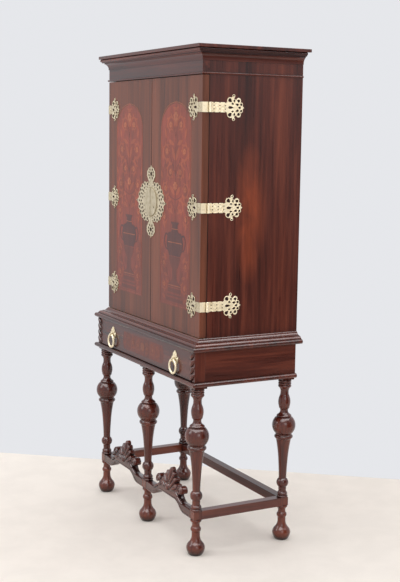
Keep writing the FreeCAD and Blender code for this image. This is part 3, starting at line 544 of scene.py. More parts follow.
def set_down(points, x, y, turn=0.0):
    """Points in millimetres, turned by degrees and moved to a place."""
    heading = cmath.exp(1j * math.radians(turn))
    return [(complex(x, y) + point * heading) * MM for point in points]


def round_hole(x, y, radius, steps=16):
    return set_down([radius * cmath.exp(2j * math.pi * step / steps) for step in range(steps)], x, y)


def drop_hole(x, y, long, wide, turn, steps=20):
    """A teardrop that points along its turn, in degrees."""
    points = []
    for step in range(steps):
        part = 2 * math.pi * step / steps
        across = math.sin(part) * math.sin(part / 2) * wide * DROP_FULLNESS
        points.append(complex(math.cos(part) * long / 2, across))
    return set_down(points, x, y, turn)


def leaf_loop(x, y, long, wide, turn, steps=16):
    """A pointed leaf that grows from a place along its turn, in degrees."""
    edge = [complex(long * part, -math.sin(math.pi * part) ** LEAF_BLUNTNESS * wide / 2)
            for part in (step / steps for step in range(steps + 1))]
    return set_down(edge + [point.conjugate() for point in edge[-2:0:-1]], x, y, turn)


def with_twins(loops):
    """Loops and their mirror images top to bottom."""
    return loops + [[point.conjugate() for point in loop] for loop in loops]


# Meshes

# Depth and inset of the dark bed of painted shade under pierced plates.
SHADE_BED_DEEP = 0.4 * MM
SHADE_BED_INSET = 0.7 * MM
SMOOTH_ANGLE = math.radians(38)


def curve_mesh(loops, closed, lift=0.0, **shape):
    """A mesh from curves, lifted along +Z; points are complex numbers or places."""
    curve = bpy.data.curves.new("curve", "CURVE")
    for key, value in shape.items():
        setattr(curve, key, value)
    for loop in loops:
        spline = curve.splines.new("POLY")
        spline.points.add(len(loop) - 1)
        for point, spot in zip(spline.points, loop):
            point.co = (spot.real, spot.imag, 0, 1) if isinstance(spot, complex) else (*spot, 1)
        spline.use_cyclic_u = closed
    holder = bpy.data.objects.new("curve", curve)
    mesh = bpy.data.meshes.new_from_object(holder)
    bpy.data.objects.remove(holder)
    bpy.data.curves.remove(curve)
    mesh.transform(Matrix.Translation((0, 0, lift)))
    return mesh


def pierced_plate(loops, thick, rounding):
    """A plate of an outline and its holes, from z 0 up, with rounded edges."""
    return curve_mesh(loops, True, thick / 2, dimensions="2D", fill_mode="BOTH", bevel_resolution=1,
                      extrude=thick / 2 - rounding, bevel_depth=rounding, offset=-rounding)


def wax_and_shade_bed(outline):
    """A thin dark bed under a pierced plate, just inside its outline, that paints shade into the piercings
    and stands for wax.
    """
    return curve_mesh([outline], True, SHADE_BED_DEEP, dimensions="2D", fill_mode="BOTH",
                      extrude=SHADE_BED_DEEP / 2, offset=-SHADE_BED_INSET)


def wires(runs, radius, closed=False):
    """Round wires along runs of places, such as raised lines on a plate."""
    return curve_mesh(runs, closed, dimensions="3D", bevel_depth=radius, bevel_resolution=2,
                      use_fill_caps=True)


def lifted(loop, height):
    return [Vector((point.real, point.imag, height)) for point in loop]


def mesh_of(shape, name="part"):
    mesh = bpy.data.meshes.new(name)
    shape.to_mesh(mesh)
    shape.free()
    return mesh


def lathe(profile, steps=28):
    """A turned mesh about +Z from a closed run of radius and height in metres."""
    shape = bmesh.new()
    turns = [2 * math.pi * step / steps for step in range(steps)]
    rings = [[shape.verts.new((radius * math.cos(turn), radius * math.sin(turn), height)) for turn in turns]
             for radius, height in profile]
    for low, high in zip(rings, rings[1:] + rings[:1]):
        for step in range(steps):
            shape.faces.new((low[step - 1], low[step], high[step], high[step - 1]))
    bmesh.ops.recalc_face_normals(shape, faces=shape.faces)
    return mesh_of(shape)


def block(low, high):
    """A plain box between two corners."""
    shape = bmesh.new()
    span = [end - start for start, end in zip(low, high)]
    middle = [(start + end) / 2 for start, end in zip(low, high)]
    bmesh.ops.create_cube(shape, size=1, matrix=Matrix.LocRotScale(middle, None, span))
    return mesh_of(shape)


def seated(meshes, matrix):
    """Move meshes to their seat; a mirrored seat turns their faces round again."""
    for mesh in meshes:
        mesh.transform(matrix, shape_keys=False)
        if matrix.determinant() < 0:
            mesh.flip_normals()
    return meshes


def all_of(meshes, material):
    return [(mesh, material) for mesh in meshes]


def placed(meshes, matrix, material):
    return all_of(seated(meshes, matrix), material)


def mirrored_parts(parts):
    """Copies of pairs of mesh and finish for the other side of the cabinet."""
    return [(seated([mesh.copy()], MIRROR)[0], material) for mesh, material in parts]


def piece(name, parts, body, stands_for=None):
    """Join pairs of mesh and finish to one smooth piece that rides on a body."""
    finishes = list(dict.fromkeys(material for _, material in parts))
    joined = bmesh.new()
    for mesh, material in parts:
        start = len(joined.faces)
        joined.from_mesh(mesh)
        joined.faces.ensure_lookup_table()
        for face in joined.faces[start:]:
            face.material_index = finishes.index(material)
        bpy.data.meshes.remove(mesh)
    whole = mesh_of(joined, name)
    for material in finishes:
        whole.materials.append(material)
    whole.polygons.foreach_set("use_smooth", [True] * len(whole.polygons))
    whole.set_sharp_from_angle(angle=SMOOTH_ANGLE)
    item = linked(name, whole)
    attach(item, body)
    if stands_for:
        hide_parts(stands_for)


# Geometry Nodes for what repeats

PIN_DOME = 0.6
PIN_FACES = {"Segments": 12, "Rings": 6}


class Recipe(Tree):
    """A Geometry Nodes tree with named inputs for its sizes."""

    def __init__(self, name, **sizes):
        self.tree = bpy.data.node_groups.new(name, "GeometryNodeTree")
        face = self.tree.interface
        face.new_socket("Geometry", in_out="INPUT", socket_type="NodeSocketGeometry")
        self.inputs = {}
        for label, default in sizes.items():
            kind = "NodeSocketInt" if isinstance(default, int) else "NodeSocketFloat"
            self.inputs[label] = face.new_socket(label, in_out="INPUT", socket_type=kind)
            self.inputs[label].default_value = default
        face.new_socket("Geometry", in_out="OUTPUT", socket_type="NodeSocketGeometry")
        self.given = self.node("NodeGroupInput").outputs

    def close(self, instances, material):
        """End in plain geometry with its material."""
        real = self.node("GeometryNodeRealizeInstances", sockets={"Geometry": instances.outputs[0]})
        dressed = self.node("GeometryNodeSetMaterial", sockets={
            "Geometry": real.outputs[0], "Material": material})
        self.node("NodeGroupOutput", sockets={0: dressed.outputs[0]})
        return self

    def mesh(self, places, edges=(), turns=(), forms=(), **sizes):
        """Run the tree on places, each with its turn and form, and return the result as a plain mesh."""
        base = bpy.data.meshes.new("places")
        base.from_pydata([tuple(place) for place in places], list(edges), [])
        if turns:
            base.attributes.new("turn", "FLOAT", "POINT").data.foreach_set("value", turns)
            flat = [part for form in forms for part in form]
            base.attributes.new("form", "FLOAT_VECTOR", "POINT").data.foreach_set("vector", flat)
        holder = linked("places", base)
        modifier = holder.modifiers.new("recipe", "NODES")
        modifier.node_group = self.tree
        for label, value in sizes.items():
            modifier[self.inputs[label].identifier] = value
        evaluated = holder.evaluated_get(bpy.context.evaluated_depsgraph_get())
        result = bpy.data.meshes.new_from_object(evaluated)
        holder.modifiers.remove(modifier)
        bpy.data.objects.remove(holder)
        bpy.data.meshes.remove(base)
        return result


@functools.cache
def bead_recipe(material):
    """Beads at even steps along a line."""
    recipe = Recipe("Beads", Radius=1.3 * MM, Step=3.6 * MM)
    line = recipe.node("GeometryNodeMeshToCurve", sockets={"Mesh": recipe.given["Geometry"]})
    even = recipe.node("GeometryNodeResampleCurve", {"mode": "LENGTH"}, {
        "Curve": line.outputs[0], "Length": recipe.given["Step"]})
    bead = recipe.node("GeometryNodeMeshUVSphere", sockets={
        "Segments": 10, "Rings": 6, "Radius": recipe.given["Radius"]})
    return recipe.close(recipe.node("GeometryNodeInstanceOnPoints", sockets={
        "Points": even.outputs[0], "Instance": bead.outputs[0]}), material)


@functools.cache
def lobe_recipe(material):
    """Rounded forms, each with its own turn and its own length, width and depth."""
    recipe = Recipe("Lobes", Segments=24, Rings=14)
    lobe = recipe.node("GeometryNodeMeshUVSphere", sockets={
        "Segments": recipe.given["Segments"], "Rings": recipe.given["Rings"], "Radius": 1.0})
    turn, form = (recipe.node("GeometryNodeInputNamedAttribute", {"data_type": kind}, {"Name": name})
                  for name, kind in (("turn", "FLOAT"), ("form", "FLOAT_VECTOR")))
    heading = recipe.node("ShaderNodeCombineXYZ", sockets={"Z": turn.outputs[0]})
    return recipe.close(recipe.node("GeometryNodeInstanceOnPoints", sockets={
        "Points": recipe.given["Geometry"], "Instance": lobe.outputs[0], "Rotation": heading.outputs[0],
        "Scale": form.outputs[0]}), material)


def lobes(rows, height, material, **sizes):
    """Lobes from rows of across, up, length, width, depth and turn in millimetres and degrees."""
    places = [(x * MM, y * MM, height) for x, y, *_ in rows]
    forms = [(long * MM / 2, wide * MM / 2, deep * MM) for _, _, long, wide, deep, _ in rows]
    turns = [math.radians(turn) for *_, turn in rows]
    return lobe_recipe(material).mesh(places, turns=turns, forms=forms, **sizes)


def mirrored_lobes(rows):
    """Rows of lobes and their mirror images left to right."""
    return rows + [(-x, y, long, wide, deep, 180 - turn) for x, y, long, wide, deep, turn in rows]


def pins(spots, height):
    """Domed pin heads at places in millimetres on a face of a height in metres."""
    radius = settings().brass.pin_radius / MM
    rows = [(x, y, 2 * radius, 2 * radius, PIN_DOME * radius, 0) for x, y in spots]
    return lobes(rows, height, brass_of("old_brass"), **PIN_FACES)


# Woodwork

DOOR_NODES = ["door_left", "door_right"]
UPRIGHT_NODES = ["case_side_left", "stand_post_left", "stand_post_right"]
CROSS_NODES = ["frieze_rail", "top_board", "stand_back", "drawer_front"]
NOSED_NODES = ["stand_base", "stand_top"]
DEEP_NODES = ["stand_side_left", "stand_side_right", "stretcher_left", "stretcher_right"]
ARRIS_NODES = DOOR_NODES + UPRIGHT_NODES + CROSS_NODES + DEEP_NODES + ["case_side_right", "stretcher_back"]
LEG_PLACES = ["front_left", "front_middle", "front_right", "back_left", "back_right"]
# Turned wood takes more of the painted shade in its hollows.
TURNED = {"gloss": 0.1, "coat": 0.5, "crease": 1.6}
# Name, grain and options of each wood, and the nodes that take it.
WOODS = [
    ("upright_wood", "z", {}, UPRIGHT_NODES),
    ("cross_wood", "x", {"lift": -0.04}, CROSS_NODES + NOSED_NODES),
    ("deep_wood", "y", {"lift": 0.03}, DEEP_NODES),
    ("mitred_wood", "mitred", {"lift": -0.03, "shine": 0.35}, ["cornice", "frieze_bead"]),
    # Painted light: the waist moulding is a lighter copy of the mitred wood, for the sky that its tops
    # mirror.
    ("waist_wood", "mitred", {"lift": 0.05, "gloss": 0.1}, ["waist_moulding"]),
    # Painted shade: the back stretcher is a darker copy of the cross wood, for the shade under the cabinet.
    ("shaded_wood", "x", {"lift": -0.1, "shine": 0.2}, ["stretcher_back"]),
    ("turned_leg", "z", {"lift": -0.03, **TURNED}, [f"leg_{place}" for place in LEG_PLACES]),
    # The feet are a lighter copy of the leg wood: partly lighter wood, partly painted light from the floor
    # below.
    ("turned_foot", "z", {"lift": 0.06, **TURNED}, [f"foot_{place}" for place in LEG_PLACES]),
]
INSIDE_NODES = {
    "x": ["case_bottom", "case_top", "shelf_lower", "shelf_upper", "drawer_back", "drawer_bottom"],
    "y": ["drawer_sides", "drawer_guides"],
    "z": ["case_back"],
}
DOOR_TONES = (0.45, 1, 1.5)
FLAME_SHIFT = Vector((0, -0.02, -0.06))
FLAME_HALF = (0.06, 0.2)
WELD_REACH = 0.01 * MM
ARRIS_ANGLE = math.radians(40)


def soften(nodes, width):
    """Round the arrises of boards."""
    for node in nodes:
        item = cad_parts[node]
        item.modifiers.new("joined", "WELD").merge_threshold = WELD_REACH
        arris = item.modifiers.new("arris", "BEVEL")
        arris.width = width
        arris.segments = 2
        arris.limit_method = "ANGLE"
        arris.angle_limit = ARRIS_ANGLE


class CABINET_OT_woodwork(bpy.types.Operator):
    """Polish the case, the stand and the legs, and wax the inside"""
    bl_idname = "cabinet.woodwork"
    bl_label = "Woodwork"

    def execute(self, context):
        wood = settings().wood
        for name, along, options, nodes in WOODS:
            paint(nodes, finish_for(name, polished_wood, along, **options))
        seam = (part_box("door_right")[1].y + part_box("case_side_right")[0].y) / 2
        tones = [toned(wood.door, factor) for factor in DOOR_TONES]
        # Bands of painted shade along the doors' joints, with each other and with the case side.
        paint(DOOR_NODES, finish_for("door_wood", polished_wood, "z", colours=tones, gloss=-0.1,
                                     shine=0.36, seams=(0, seam)))
        flame = (middle_of("case_side_right") + FLAME_SHIFT, *FLAME_HALF)
        # The side board takes the same band of painted shade at its joint with the door.
        paint(["case_side_right"], finish_for("flame_wood", polished_wood, "z", flame, lift=0.03,
                                              seams=(None, seam)))
        for along, nodes in INSIDE_NODES.items():
            paint(nodes, finish_for(f"plain_wood_{along}", plain_wood, along))
        soften(ARRIS_NODES, wood.edge)
        return {"FINISHED"}


# Brass hinges, in millimetres

# Start and end of each strap, and the shares of it where it is notched between panels.
CASE_STRAP = (5.3, 60.0, (0.19, 0.56, 0.92))
DOOR_STRAP = (0.0, 30.0, (0.86,))
EDGE_BREAK_SHARES = (0.5,)
STRAP_HALF = 15.5
LEAF_THICK = 1.5
# Lower half of the cartouche from the end of the strap: across, up and bulge.
CARTOUCHE_ROWS = [
    (1.7, -15.5, 0.65), (17.5, -30.7, 0), (19.6, -33.7, 1.43), (29.0, -33.7, 0), (25.5, -27.0, -0.3),
    (33.5, -24.0, 1.39), (46.5, -14.5, 0.86), (56.0, -5.7, -0.2),
]
CARTOUCHE_TIP = 62.5
# Teardrops: across, up, length, width and turn.
CARTOUCHE_DROPS = [
    (12.0, -21.3, 15, 12, 42), (41.0, -20.8, 11.5, 9.5, 205), (27.0, -20.0, 10, 7, 75),
    (50.3, -10.2, 9.5, 8, 200), (36.5, -9.5, 12, 8, 190), (21.5, -11.5, 9.5, 6.5, 20),
]
CARTOUCHE_EYE = (24.3, -36.2, 2.8)
CARTOUCHE_MIDDLE = [(15.0, 0, 19, 8.5, 0), (44.5, 0, 10.5, 7.5, 180)]
CARTOUCHE_PINS = (29.5, 56.0)
PIN_RADIUS = 2.2
KNUCKLE_BORE = 2.5
KNUCKLE_RADIUS = 5.0
KNUCKLE_EASE = 0.6
KNUCKLE_GAP = 0.15
NOTCH_HALF = 2.4
DOT_LEVEL = 5.2
DOT_RADIUS = 1.9
PANEL_GAP = 3.4
PANEL_HALF = 12.6
PANEL_RING = 5.0
RELIEF_RADIUS = 0.9
RIM_RADIUS = 0.7
RIM_GROWTH = 1.2
TONGUE_LAP = 1.0
CORNER_LAP = 0.4


def cartouche_holes(start):
    """Piercings of a cartouche that begins at a start."""
    drops = [drop_hole(start + x, *rest) for x, *rest in CARTOUCHE_DROPS]
    eye = round_hole(start + CARTOUCHE_EYE[0], *CARTOUCHE_EYE[1:])
    return with_twins(drops + [eye]) + [drop_hole(start + x, *rest) for x, *rest in CARTOUCHE_MIDDLE]


def ringed(loop):
    """A loop enlarged about its own middle."""
    middle = sum(loop) / len(loop)
    return [middle + (point - middle) * RIM_GROWTH for point in loop]


def strap_breaks(start, end, shares):
    return [start + (end - start) * part for part in shares]


def strap_relief(start, end, shares):
    """Raised borders of the panels of a strap, with a ring in each panel that has room for it."""
    runs = []
    stops = [start] + strap_breaks(start, end, shares) + [end]
    for low, high in zip(stops, stops[1:]):
        left, right = low + PANEL_GAP, high - PANEL_GAP
        if right - left < PANEL_GAP:
            continue
        corners = [(left, PANEL_HALF), (right, PANEL_HALF), (right, -PANEL_HALF), (left, -PANEL_HALF)]
        rim = [complex(x, y) * MM for x, y in corners]
        radius = min(PANEL_RING, (right - left) / 2 - RELIEF_RADIUS)
        ring = round_hole((left + right) / 2, 0, radius, steps=20)
        runs += [lifted(line + line[:1], LEAF_THICK * MM) for line in (rim, ring)]
    return wires(runs, RELIEF_RADIUS * MM)


def leaf_parts(start, end, shares, place, brass):
    """A strap and its cartouche, drawn flat along +X and seated, with a dark bed of painted shade and wax in
    its piercings.
    """
    thick = LEAF_THICK * MM
    breaks = strap_breaks(start, end, shares)
    rows = [(start, -STRAP_HALF, 0)]
    for x in breaks:
        rows += [(x - NOTCH_HALF, -STRAP_HALF, HALF_CIRCLE), (x + NOTCH_HALF, -STRAP_HALF, 0)]
    rows += [(end + x, y, bulge) for x, y, bulge in CARTOUCHE_ROWS]
    outline = loop_of(mirrored_rows(rows, tip=(end + CARTOUCHE_TIP, 0)))
    holes = cartouche_holes(end)
    dots = [round_hole(x, y, DOT_RADIUS, steps=12) for x in breaks for y in (-DOT_LEVEL, DOT_LEVEL)]
    metal = [
        pierced_plate([outline] + holes + dots, thick, settings().brass.rounding),
        wires([lifted(ringed(hole), thick) for hole in holes], RIM_RADIUS * MM, closed=True),
        strap_relief(start, end, shares),
        pins([(end + x, 0) for x in CARTOUCHE_PINS], thick),
    ]
    # Painted shade: a dark bed under the strap darkens its piercings.
    wax = placed([wax_and_shade_bed(outline)], place, finish_for("old_wax", old_wax))
    return placed(metal, place, brass) + wax


def knuckle_mesh(low, high):
    """One knuckle of the barrel with eased ends, drawn upright about the axis."""
    bore, radius, ease = KNUCKLE_BORE * MM, KNUCKLE_RADIUS * MM, KNUCKLE_EASE * MM
    return lathe([(bore, low), (radius - ease, low), (radius, low + ease), (radius, high - ease),
                  (radius - ease, high), (bore, high)])


class CABINET_OT_hinges(bpy.types.Operator):
    """Make the pierced strap hinges on the case and the doors"""
    bl_idname = "cabinet.hinges"
    bl_label = "Strap hinges"

    def execute(self, context):
        plain, barrel = brass_of("old_brass"), brass_of("barrel_brass")
        side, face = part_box("door_right")[1].x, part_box("door_right")[0].y
        pin_low, pin_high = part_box("hinge_pins")
        _, depth, middle = middle_of("hinge_pins")
        outer, reach = side + LEAF_THICK * MM, CASE_STRAP[0] * MM
        half, gap, lap = STRAP_HALF * MM, KNUCKLE_GAP * MM, TONGUE_LAP * MM
        edge, third = depth - reach, half / 3
        spread = (pin_high.z - pin_low.z) / 2 - half
        case_parts, door_parts = [], []
        for level in (middle - spread, middle, middle + spread):
            axis = Matrix.Translation((pin_high.x - PIN_RADIUS * MM, depth, level))
            case_parts += leaf_parts(*CASE_STRAP, seat((side, depth, level), RIGHT), plain)
            for low, high in ((-half, -third - gap), (third + gap, half)):
                case_parts += placed([knuckle_mesh(low, high)], axis, barrel)
                tongue = block((side, depth, level + low), (outer, depth + reach + lap, level + high))
                case_parts.append((tongue, plain))
            corner = seat((outer, face, level)) @ MIRROR
            door_parts += leaf_parts(*DOOR_STRAP, corner, brass_of("front_brass"))
            relief = strap_relief(0, (edge - face) / MM, EDGE_BREAK_SHARES)
            wrap = seated([relief], seat((side, face, level), RIGHT))
            wrap.append(block((side, face - CORNER_LAP * MM, level - half), (outer, edge, level + half)))
            low, high = -third + gap, third - gap
            wrap.append(block((side, edge - lap, level + low), (outer, depth, level + high)))
            door_parts += all_of(wrap, plain) + placed([knuckle_mesh(low, high)], axis, barrel)
        piece("case_hinge_leaves", case_parts + mirrored_parts(case_parts), "cabinet",
              "hinge_case_leaves")
        for name, parts in (("right", door_parts), ("left", mirrored_parts(door_parts))):
            piece(f"door_hinge_leaves_{name}", parts, f"door_{name}", f"hinge_door_leaves_{name}")
        paint(["hinge_pins"], plain)
        return {"FINISHED"}


# Brass lock plate, in millimetres

SEAM_HALF = 1.0
BOSS_SEAM_HALF = 1.9
BOSS_RADIUS = 47.0
BOSS_THICK = 3.0
BOSS_ROUNDING = 0.9
BEAD_OUT = 1.6
BEAD_LIFT = 0.4
PENDANT_CENTRE = 93.0
PENDANT_HOLE = 7.0
PENDANT_RING = 16.0
PENDANT_TURNS = (-56, -19, 19, 56)
PENDANT_DROP = (10, 8.5)
# Lower right quarter of the plate about its middle: across, up and bulge.
LOCK_ROWS = [
    (SEAM_HALF, -122.0, -0.15), (8.0, -113.0, 0.45), (22.0, -106.0, 0.5), (30.0, -92.0, 0.5),
    (23.0, -78.0, 0.45), (13.0, -69.0, 0), (13.0, -63.0, -0.3), (17.0, -58.5, 0.75), (37.0, -59.0, 0.85),
    (57.5, -55.0, 0.9), (73.0, -43.5, 0.9), (84.5, -29.5, 0.85), (93.5, -13.0, -0.18),
]
LOCK_TIP = (117.0, 0)
LOCK_DROP = (10.5, 10.5)
LOCK_DROP_PLACES = [(27, -57.5), (47.3, -57.2), (66, -50), (79.3, -37), (89, -21.2)]
# Round piercings: across, up and radius.
LOCK_EYES = [
    (14.2, -53.1, 2.5), (27.5, -47.6, 2.7), (38.2, -39.5, 2.6), (47.2, -28.3, 2.7), (53.1, -15, 2.7),
    (38.8, -49.2, 3), (50.5, -44.5, 3.9), (57.5, -34, 4.2), (68, -37, 3.7), (64, -22.5, 4.2),
    (76, -25, 4.1), (66, -10.5, 3.8), (80, -12.5, 4.2),
]
LOCK_MIDDLE = [(75, 0, 10, 7), (91, 0, 10, 7.5), (106, 0, 8, 4.5)]
LOCK_PINS = [(62.5, -6), (62.5, 6), (17, -66), (17, 66)]
KEYHOLE = (26.0, -17.0, 3.0)


def half_disc(radius, steps=28):
    rim = [radius * MM * cmath.exp(1j * math.pi * (step / steps - 0.5)) for step in range(steps + 1)]
    return [complex(max(point.real, BOSS_SEAM_HALF * MM), point.imag) for point in rim]


def lock_holes():
    """Teardrops that point to the middle, eyes between them and a rosette in each pendant."""
    holes = [drop_hole(x, y, *LOCK_DROP, math.degrees(math.atan2(-y, -x))) for x, y in LOCK_DROP_PLACES]
    holes += [round_hole(*eye) for eye in LOCK_EYES]
    for turn in PENDANT_TURNS:
        spot = PENDANT_RING * cmath.exp(1j * math.radians(turn)) - 1j * PENDANT_CENTRE
        holes.append(drop_hole(spot.real, spot.imag, *PENDANT_DROP, turn + 180))
    return with_twins(holes) + [drop_hole(*row, 180) for row in LOCK_MIDDLE]


def lock_half(has_keyhole):
    """The right half of the lock plate as pairs of mesh and finish, drawn flat with its seam at the left."""
    brass = settings().brass
    thick = LEAF_THICK * MM
    rows = mirrored_rows(LOCK_ROWS, tip=LOCK_TIP)
    ends = [(SEAM_HALF, sign * PENDANT_CENTRE, PENDANT_HOLE) for sign in (1, -1)]
    seam = [row for x, y, hole in ends for row in ((x, y + hole, HALF_CIRCLE), (x, y - hole, 0))]
    key = [round_hole(*KEYHOLE)] if has_keyhole else []
    plate = pierced_plate([loop_of(rows + seam)] + lock_holes() + key, thick, brass.rounding)
    boss = pierced_plate([half_disc(BOSS_RADIUS)] + key, BOSS_THICK * MM, BOSS_ROUNDING * MM)
    boss.transform(Matrix.Translation((0, 0, thick)))
    # The beads stop two steps short of the seam.
    rim = lifted(half_disc(BOSS_RADIUS + BEAD_OUT, steps=60)[2:-2], thick + BEAD_LIFT * MM)
    edges = [(step, step + 1) for step in range(len(rim) - 1)]
    front = brass_of("front_brass")
    beads = bead_recipe(front).mesh(rim, edges, Radius=brass.bead_radius)
    # Painted shade: a dark bed under the plate darkens its piercings.
    wax = (wax_and_shade_bed(loop_of(rows)), finish_for("old_wax", old_wax))
    return [(boss, brass_of("satin_brass")), wax] + all_of([plate, beads, pins(LOCK_PINS, thick)], front)


class CABINET_OT_lock_plate(bpy.types.Operator):
    """Make the two halves of the pierced lock plate"""
    bl_idname = "cabinet.lock_plate"
    bl_label = "Lock plate"

    def execute(self, context):
        place = Matrix.Translation((0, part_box("door_right")[0].y, middle_of("door_right").z))
        for side, sign in SIDES.items():
            parts = lock_half(sign > 0)
            seated([mesh for mesh, _ in parts], place @ FRONT if sign > 0 else place @ MIRROR @ FRONT)
            piece(f"lock_scutcheon_{side}", parts, f"door_{side}", f"lock_plate_{side}")
        paint(["lock_case", "lock_keeper", "door_bolt_guides", "door_bolt_upper", "door_bolt_lower",
               "shelf_pins"], brass_of("dull_brass"))
        paint(["lock_bolt"], finish_for("filed_steel", filed_steel))
        return {"FINISHED"}


# Ring pulls, in millimetres about the ring's pivot

PULL_ROWS = [
    (5.0, -15.5, 0.5), (12.5, -10.5, 0.5), (21.5, 1.0, 0.6), (13.0, 10.5, -0.2), (12.0, 13.0, 0.3),
    (2.0, 28.0, 0),
]
PULL_TIP = (0, 29.0)
PULL_THICK = 1.5
PULL_LOBE_LEVEL = 1.2
# Ribs of the leaf: across, up, length, width, depth and turn.
PULL_MIDDLE_LOBES = [(0, 16, 25, 11, 3, 90), (0, -9, 12, 8, 2.2, 90)]
PULL_SIDE_LOBES = [(7, 11, 20, 10, 2.6, 65), (13, 2, 19, 11, 2.6, 30), (9, -7, 15, 9, 2.2, -30)]


class CABINET_OT_pulls(bpy.types.Operator):
    """Make the ribbed leaf plates of the ring pulls"""
    bl_idname = "cabinet.pulls"
    bl_label = "Ring pulls"

    def execute(self, context):
        brass = brass_of("pull_brass")
        outline = loop_of(mirrored_rows(PULL_ROWS, tip=PULL_TIP, flip=(-1, 1)))
        rows = PULL_MIDDLE_LOBES + mirrored_lobes(PULL_SIDE_LOBES)
        parts = []
        for side in SIDES:
            low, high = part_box(f"pull_ring_{side}")
            wire = (high.y - low.y) / 2
            pivot = ((low.x + high.x) / 2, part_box("drawer_front")[0].y, high.z - wire)
            leaf = [pierced_plate([outline], PULL_THICK * MM, settings().brass.rounding),
                    lobes(rows, PULL_LOBE_LEVEL * MM, brass)]
            parts += placed(leaf, seat(pivot), brass)
        piece("pull_leaves", parts, "drawer")
        paint(["pull_plates", "pull_ring_left", "pull_ring_right"], brass)
        return {"FINISHED"}


# Marquetry, in millimetres from the middle of a panel's foot; right half only

FOOT_ROWS = [(44, 62, 0), (44, 70, 0.3), (33, 76, -0.35), (16, 104, 0), (16, 122, 0.2), (40, 162, 0)]
VASE_ROWS = [(40, 164, 0), (46, 176, 0.35), (53, 222, 0.3), (40, 240, -0.3), (20, 248, 0),
             (19, 264, 0.2), (28, 274, 0)]
HANDLE = [(50, 230), (66, 235), (76, 212), (66, 186), (50, 182)]
# Bars across the whole panel: half width, low and high edge.
PLINTH = [(60, 14, 26), (52, 32, 38), (48, 44, 58)]
BANDS = [(42, 66, 68.5), (49, 206, 208.5), (22, 250, 252)]
# Spiral leaves: middle across and up, radius, start in degrees, turns and width.
SCROLLS = [
    (36, 584, 29, 190, -1.2, 9), (62, 500, 30, 235, 1.15, 9), (34, 434, 27, 110, -1.1, 8),
    (70, 380, 27, 215, 1.2, 8), (36, 322, 24, 115, -1.1, 7), (76, 286, 20, 200, 1.15, 6),
    (78, 136, 20, 150, -1.2, 6), (72, 66, 22, 120, 1.15, 6),
]
STEMS = [
    [(0, 274), (0, 340), (0, 420), (0, 560)],
    [(0, 540), (10, 575), (6, 600)],
    [(0, 420), (18, 452), (36, 480)],
    [(0, 420), (6, 450), (26, 461)],
    [(0, 345), (30, 352), (48, 364)],
    [(0, 300), (14, 330), (26, 343)],
    [(48, 480), (80, 455), (92, 420), (86, 398)],
    [(30, 76), (50, 96), (60, 122)],
]
# Flowers: across, up and radius.
FLOWERS = [
    (0, 610, 17), (36, 584, 11), (62, 500, 11), (34, 434, 10), (70, 380, 10), (0, 390, 15), (76, 286, 8),
    (78, 136, 8), (72, 66, 9),
]
# Leaves: foot across and up, length, width and turn.
LEAVES = [
    (2, 470, 50, 16, 62), (4, 360, 46, 15, 40), (10, 520, 44, 14, 20), (66, 540, 34, 12, 75),
    (88, 470, 34, 12, 85), (92, 410, 30, 11, 70), (60, 340, 34, 12, -20), (90, 330, 30, 11, 80),
    (14, 300, 34, 12, 30), (70, 250, 30, 11, 60), (92, 180, 34, 11, 95), (56, 150, 30, 11, 35),
    (88, 96, 28, 10, 80), (48, 96, 30, 11, 10), (6, 575, 30, 10, 100), (62, 20, 30, 11, 25),
    (20, 640, 34, 9, 200),
]
# The drawer's spray is counted from the middle of its panel.
SPRAY_SCROLLS = [(36, -2, 18, 150, -1.4, 8), (78, 2, 19, 200, 1.4, 8), (118, -2, 15, 160, -1.4, 7)]
SPRAY_LEAVES = [
    (16, 12, 26, 9, 20), (52, -16, 28, 9, 10), (56, 16, 26, 9, 15), (96, 14, 26, 9, 10),
    (96, -18, 26, 9, 15), (18, -16, 24, 9, -5), (128, 12, 16, 7, 10),
]
SPRAY_FLOWERS = [(36, -2, 7), (78, 2, 7)]
SPRAY_ROSE = (0, 0, 17, 9)
# Width of a line, and the share of it that is left at the end.
HANDLE_WIDE = (7, 0.5)
STEM_WIDE = (3, 0.6)
SCROLL_TAPER = 0.35
SPRAY_TAPER = 0.4
# Leaves stand on these steps of a spiral. Their length is a share of its radius and falls towards its eye.
SCROLL_LEAF_STEPS = range(2, 32, 5)
SCROLL_LEAF_TURN = 38
SCROLL_LEAF_LONG = 0.75
SCROLL_LEAF_FALL = 0.55
SCROLL_LEAF_WIDE = 0.36
# Widths of a petal and a flower's heart as shares of the flower's radius, and the turn of the first petal.
PETAL_WIDE = 0.62
HEART_WIDE = 0.32
PETAL_TURN = 15
ARCH_SPRING_SHARE = 0.876
LINE_INSET = 5
LINE_WIDE = 1.4
VENEER_THICK = 0.1
VENEER_STEP = 0.004
# Level of the first layer of veneer and rise to each next one, as shares of the veneer's lift.
LAYER_START = 0.4
LAYER_RISE = 0.5


def ribbon(points, width, taper=1.0):
    """A closed loop round a line of points; taper is the share of the width at the end."""
    spots = [complex(x, y) * MM for x, y in points]
    left, right = [], []
    for index, spot in enumerate(spots):
        heading = spots[min(index + 1, len(spots) - 1)] - spots[max(index - 1, 0)]
        reach = 1j * heading / abs(heading) * width * MM / 2 * (1 + (taper - 1) * index / (len(spots) - 1))
        left.append(spot + reach)
        right.append(spot - reach)
    return right + left[::-1]


def spiral(x, y, radius, start, turns, inner=0.3, steps=40):
    """Points that wind in to a middle."""
    points = []
    for step in range(steps + 1):
        part = step / steps
        reach = radius * (1 + (inner - 1) * part)
        heading = math.radians(start) + 2 * math.pi * turns * part
        points.append((x + reach * math.cos(heading), y + reach * math.sin(heading)))
    return points


